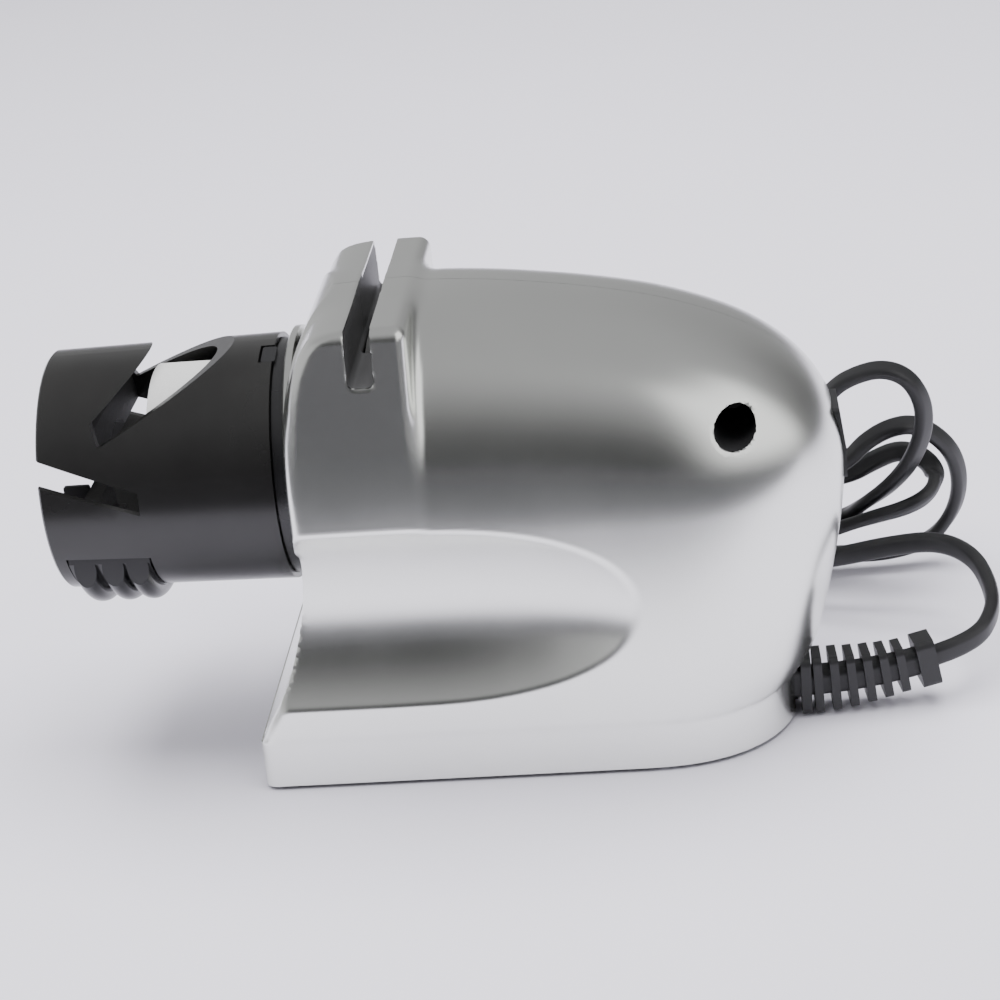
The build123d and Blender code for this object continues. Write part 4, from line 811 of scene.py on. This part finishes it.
def bore_plate(name, x0, x1, z0, z1, y_face, thick):
    """Dark guide plate standing in the collar's bore behind a slot, with chamfered edges."""
    c = 0.35
    zc, half = (z0 + z1) / 2, (z1 - z0) / 2
    outline = [(x0 + c, zc - half), (x1 - c, zc - half), (x1, zc - half + c), (x1, zc + half - c),
               (x1 - c, zc + half), (x0 + c, zc + half), (x0, zc + half - c), (x0, zc - half + c)]
    mid = [((x0 + x1) / 2 + (x - (x0 + x1) / 2) * 0.95, zc + (z - zc) * 0.97) for x, z in outline]
    rings = [(mid, y_face), (outline, y_face + 0.3), (outline, y_face + thick - 0.3), (mid, y_face + thick)]
    verts = [(x * MM, y * MM, z * MM) for ring, y in rings for x, z in ring]
    m = len(outline)
    faces = [tuple(range(m)), tuple(reversed(range(3 * m, 4 * m)))]
    for r in range(3):
        for j in range(m):
            k = (j + 1) % m
            faces.append((r * m + k, r * m + j, (r + 1) * m + j, (r + 1) * m + k))
    me = bpy.data.meshes.new(name)
    me.from_pydata(verts, [], faces)
    me.validate()
    return piece(name, me, "inner_plastic", "collar")


# its top stays under the serrated slot, which is left free right across
bore_plate("collar_guide_near", -86.4, -80.4, 52.0, 70.15, -19.6, 1.6)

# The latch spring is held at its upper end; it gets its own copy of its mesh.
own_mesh(nodes["latch_spring"])

# ------------------------------------------------------------------ floor, world, light
floor_mesh = bpy.data.meshes.new("floor")
S = 6.0
floor_mesh.from_pydata([(-S, -S, 0), (S, -S, 0), (S, S, 0), (-S, S, 0)], [], [(0, 1, 2, 3)])
floor = bpy.data.objects.new("floor", floor_mesh)
scene.collection.objects.link(floor)
fm, fnt, fb = new_material("floor_paper")
fn = noise(fnt, 3.0, 3.0, 0.5)
fnt.links.new(ramp(fnt, fn, [(0.3, (0.85, 0.83, 0.93)), (0.7, (0.88, 0.86, 0.96))]), fb.inputs["Base Color"])
fb.inputs["Roughness"].default_value = 0.55
fb.inputs["Specular IOR Level"].default_value = 0.25
floor.data.materials.append(fm)

# A dark sheet on the floor in front, outside the picture and seen only in glossy reflections: a painted dark reflection
# in the silver paint.
reflection_card_mesh = bpy.data.meshes.new("dark_reflection_card")
reflection_card_mesh.from_pydata([(-2.5, -2.6, 0.0012), (2.5, -2.6, 0.0012), (2.5, -0.11, 0.0012), (-2.5, -0.11, 0.0012)], [],
                       [(0, 1, 2, 3)])
reflection_card = bpy.data.objects.new("dark_reflection_card", reflection_card_mesh)
scene.collection.objects.link(reflection_card)
cm, cnt, cb = new_material("dark_reflection_card")
cb.inputs["Roughness"].default_value = 0.9
cb.inputs["Specular IOR Level"].default_value = 0.05
cnt.links.new(ramp(cnt, noise(cnt, 40.0, 3.0, 0.6), [(0.3, (0.05, 0.05, 0.055)), (0.7, (0.085, 0.085, 0.09))]),
              cb.inputs["Base Color"])
ctc = cnt.nodes.new("ShaderNodeTexCoord")
csep = cnt.nodes.new("ShaderNodeSeparateXYZ")
cnt.links.new(ctc.outputs["Object"], csep.inputs["Vector"])
cmr = cnt.nodes.new("ShaderNodeMapRange")
cmr.interpolation_type = "SMOOTHSTEP"
cmr.inputs["From Min"].default_value = -0.112
cmr.inputs["From Max"].default_value = -0.190
cnt.links.new(csep.outputs["Y"], cmr.inputs["Value"])
cnt.links.new(cmr.outputs["Result"], cb.inputs["Alpha"])
reflection_card.data.materials.append(cm)
reflection_card.visible_camera = False
reflection_card.visible_diffuse = False
reflection_card.visible_shadow = False

world = bpy.data.worlds.new("studio")
scene.world = world
world.use_nodes = True
wnt = world.node_tree
wbg = wnt.nodes["Background"]


def wmath(op, a, b=None):
    m = wnt.nodes.new("ShaderNodeMath")
    m.operation = op
    for socket, value in zip(m.inputs, (a, b)):
        if value is None:
            continue
        if isinstance(value, (int, float)):
            socket.default_value = value
        else:
            wnt.links.new(value, socket)
    return m.outputs[0]


def wstep(value, lo, hi):
    m = wnt.nodes.new("ShaderNodeMapRange")
    m.interpolation_type = "SMOOTHSTEP"
    m.inputs["From Min"].default_value = math.radians(lo)
    m.inputs["From Max"].default_value = math.radians(hi)
    wnt.links.new(value, m.inputs["Value"])
    return m.outputs["Result"]


wtc = wnt.nodes.new("ShaderNodeTexCoord")
wsep = wnt.nodes.new("ShaderNodeSeparateXYZ")
wnt.links.new(wtc.outputs["Generated"], wsep.inputs["Vector"])
# azimuth is 0 towards -Y and positive towards +X
azimuth = wmath("ARCTAN2", wsep.outputs["X"], wmath("MULTIPLY", wsep.outputs["Y"], -1.0))
height = wmath("ARCSINE", wsep.outputs["Z"])
turn = wmath("ADD", wmath("DIVIDE", azimuth, 2 * math.pi), 0.5)
ROOM = [(-180, 0.42), (-150, 0.55), (-120, 0.66), (-90, 0.62), (-60, 0.62), (-38, 0.60), (-26, 0.40), (-17, 0.07),
        (13, 0.06), (26, 0.18), (60, 0.24), (100, 0.20), (118, 0.15), (136, 0.15), (152, 0.28), (180, 0.42)]
room = ramp(wnt, turn, [((a + 180) / 360, (v, v, v * 1.02)) for a, v in ROOM])
sky = wnt.nodes.new("ShaderNodeMix")
sky.data_type = "RGBA"
wnt.links.new(wstep(height, 8, 62), sky.inputs["Factor"])
wnt.links.new(room, sky.inputs["A"])
sky.inputs["B"].default_value = (0.41, 0.41, 0.42, 1)
box = wmath("MULTIPLY", wmath("MULTIPLY", wstep(azimuth, 18, 40), wstep(azimuth, 106, 80)),
            wmath("MULTIPLY", wstep(height, -4, 15), wstep(height, 66, 48)))
glow = wnt.nodes.new("ShaderNodeMix")
glow.data_type = "RGBA"
wnt.links.new(box, glow.inputs["Factor"])
wnt.links.new(sky.outputs["Result"], glow.inputs["A"])
glow.inputs["B"].default_value = (1.45, 1.45, 1.46, 1)
wnt.links.new(glow.outputs["Result"], wbg.inputs["Color"])
wbg.inputs["Strength"].default_value = 1.0


def area(name, loc, target, size, size_y, power, color=(1, 1, 1)):
    d = bpy.data.lights.new(name, "AREA")
    d.shape = "RECTANGLE"
    d.size, d.size_y = size, size_y
    d.energy = power
    d.color = color
    o = bpy.data.objects.new(name, d)
    scene.collection.objects.link(o)
    o.location = loc
    o.rotation_mode = "QUATERNION"
    o.rotation_quaternion = (Vector(target) - Vector(loc)).to_track_quat("-Z", "Y")
    return o


for light in (area("overhead", (0.05, 0.25, 1.3), (0.02, 0, 0.0), 1.3, 1.1, 34.0),
              area("front_top", (-0.35, -0.55, 1.15), (0.02, 0, 0.0), 0.7, 0.6, 6.0)):
    light.visible_glossy = False
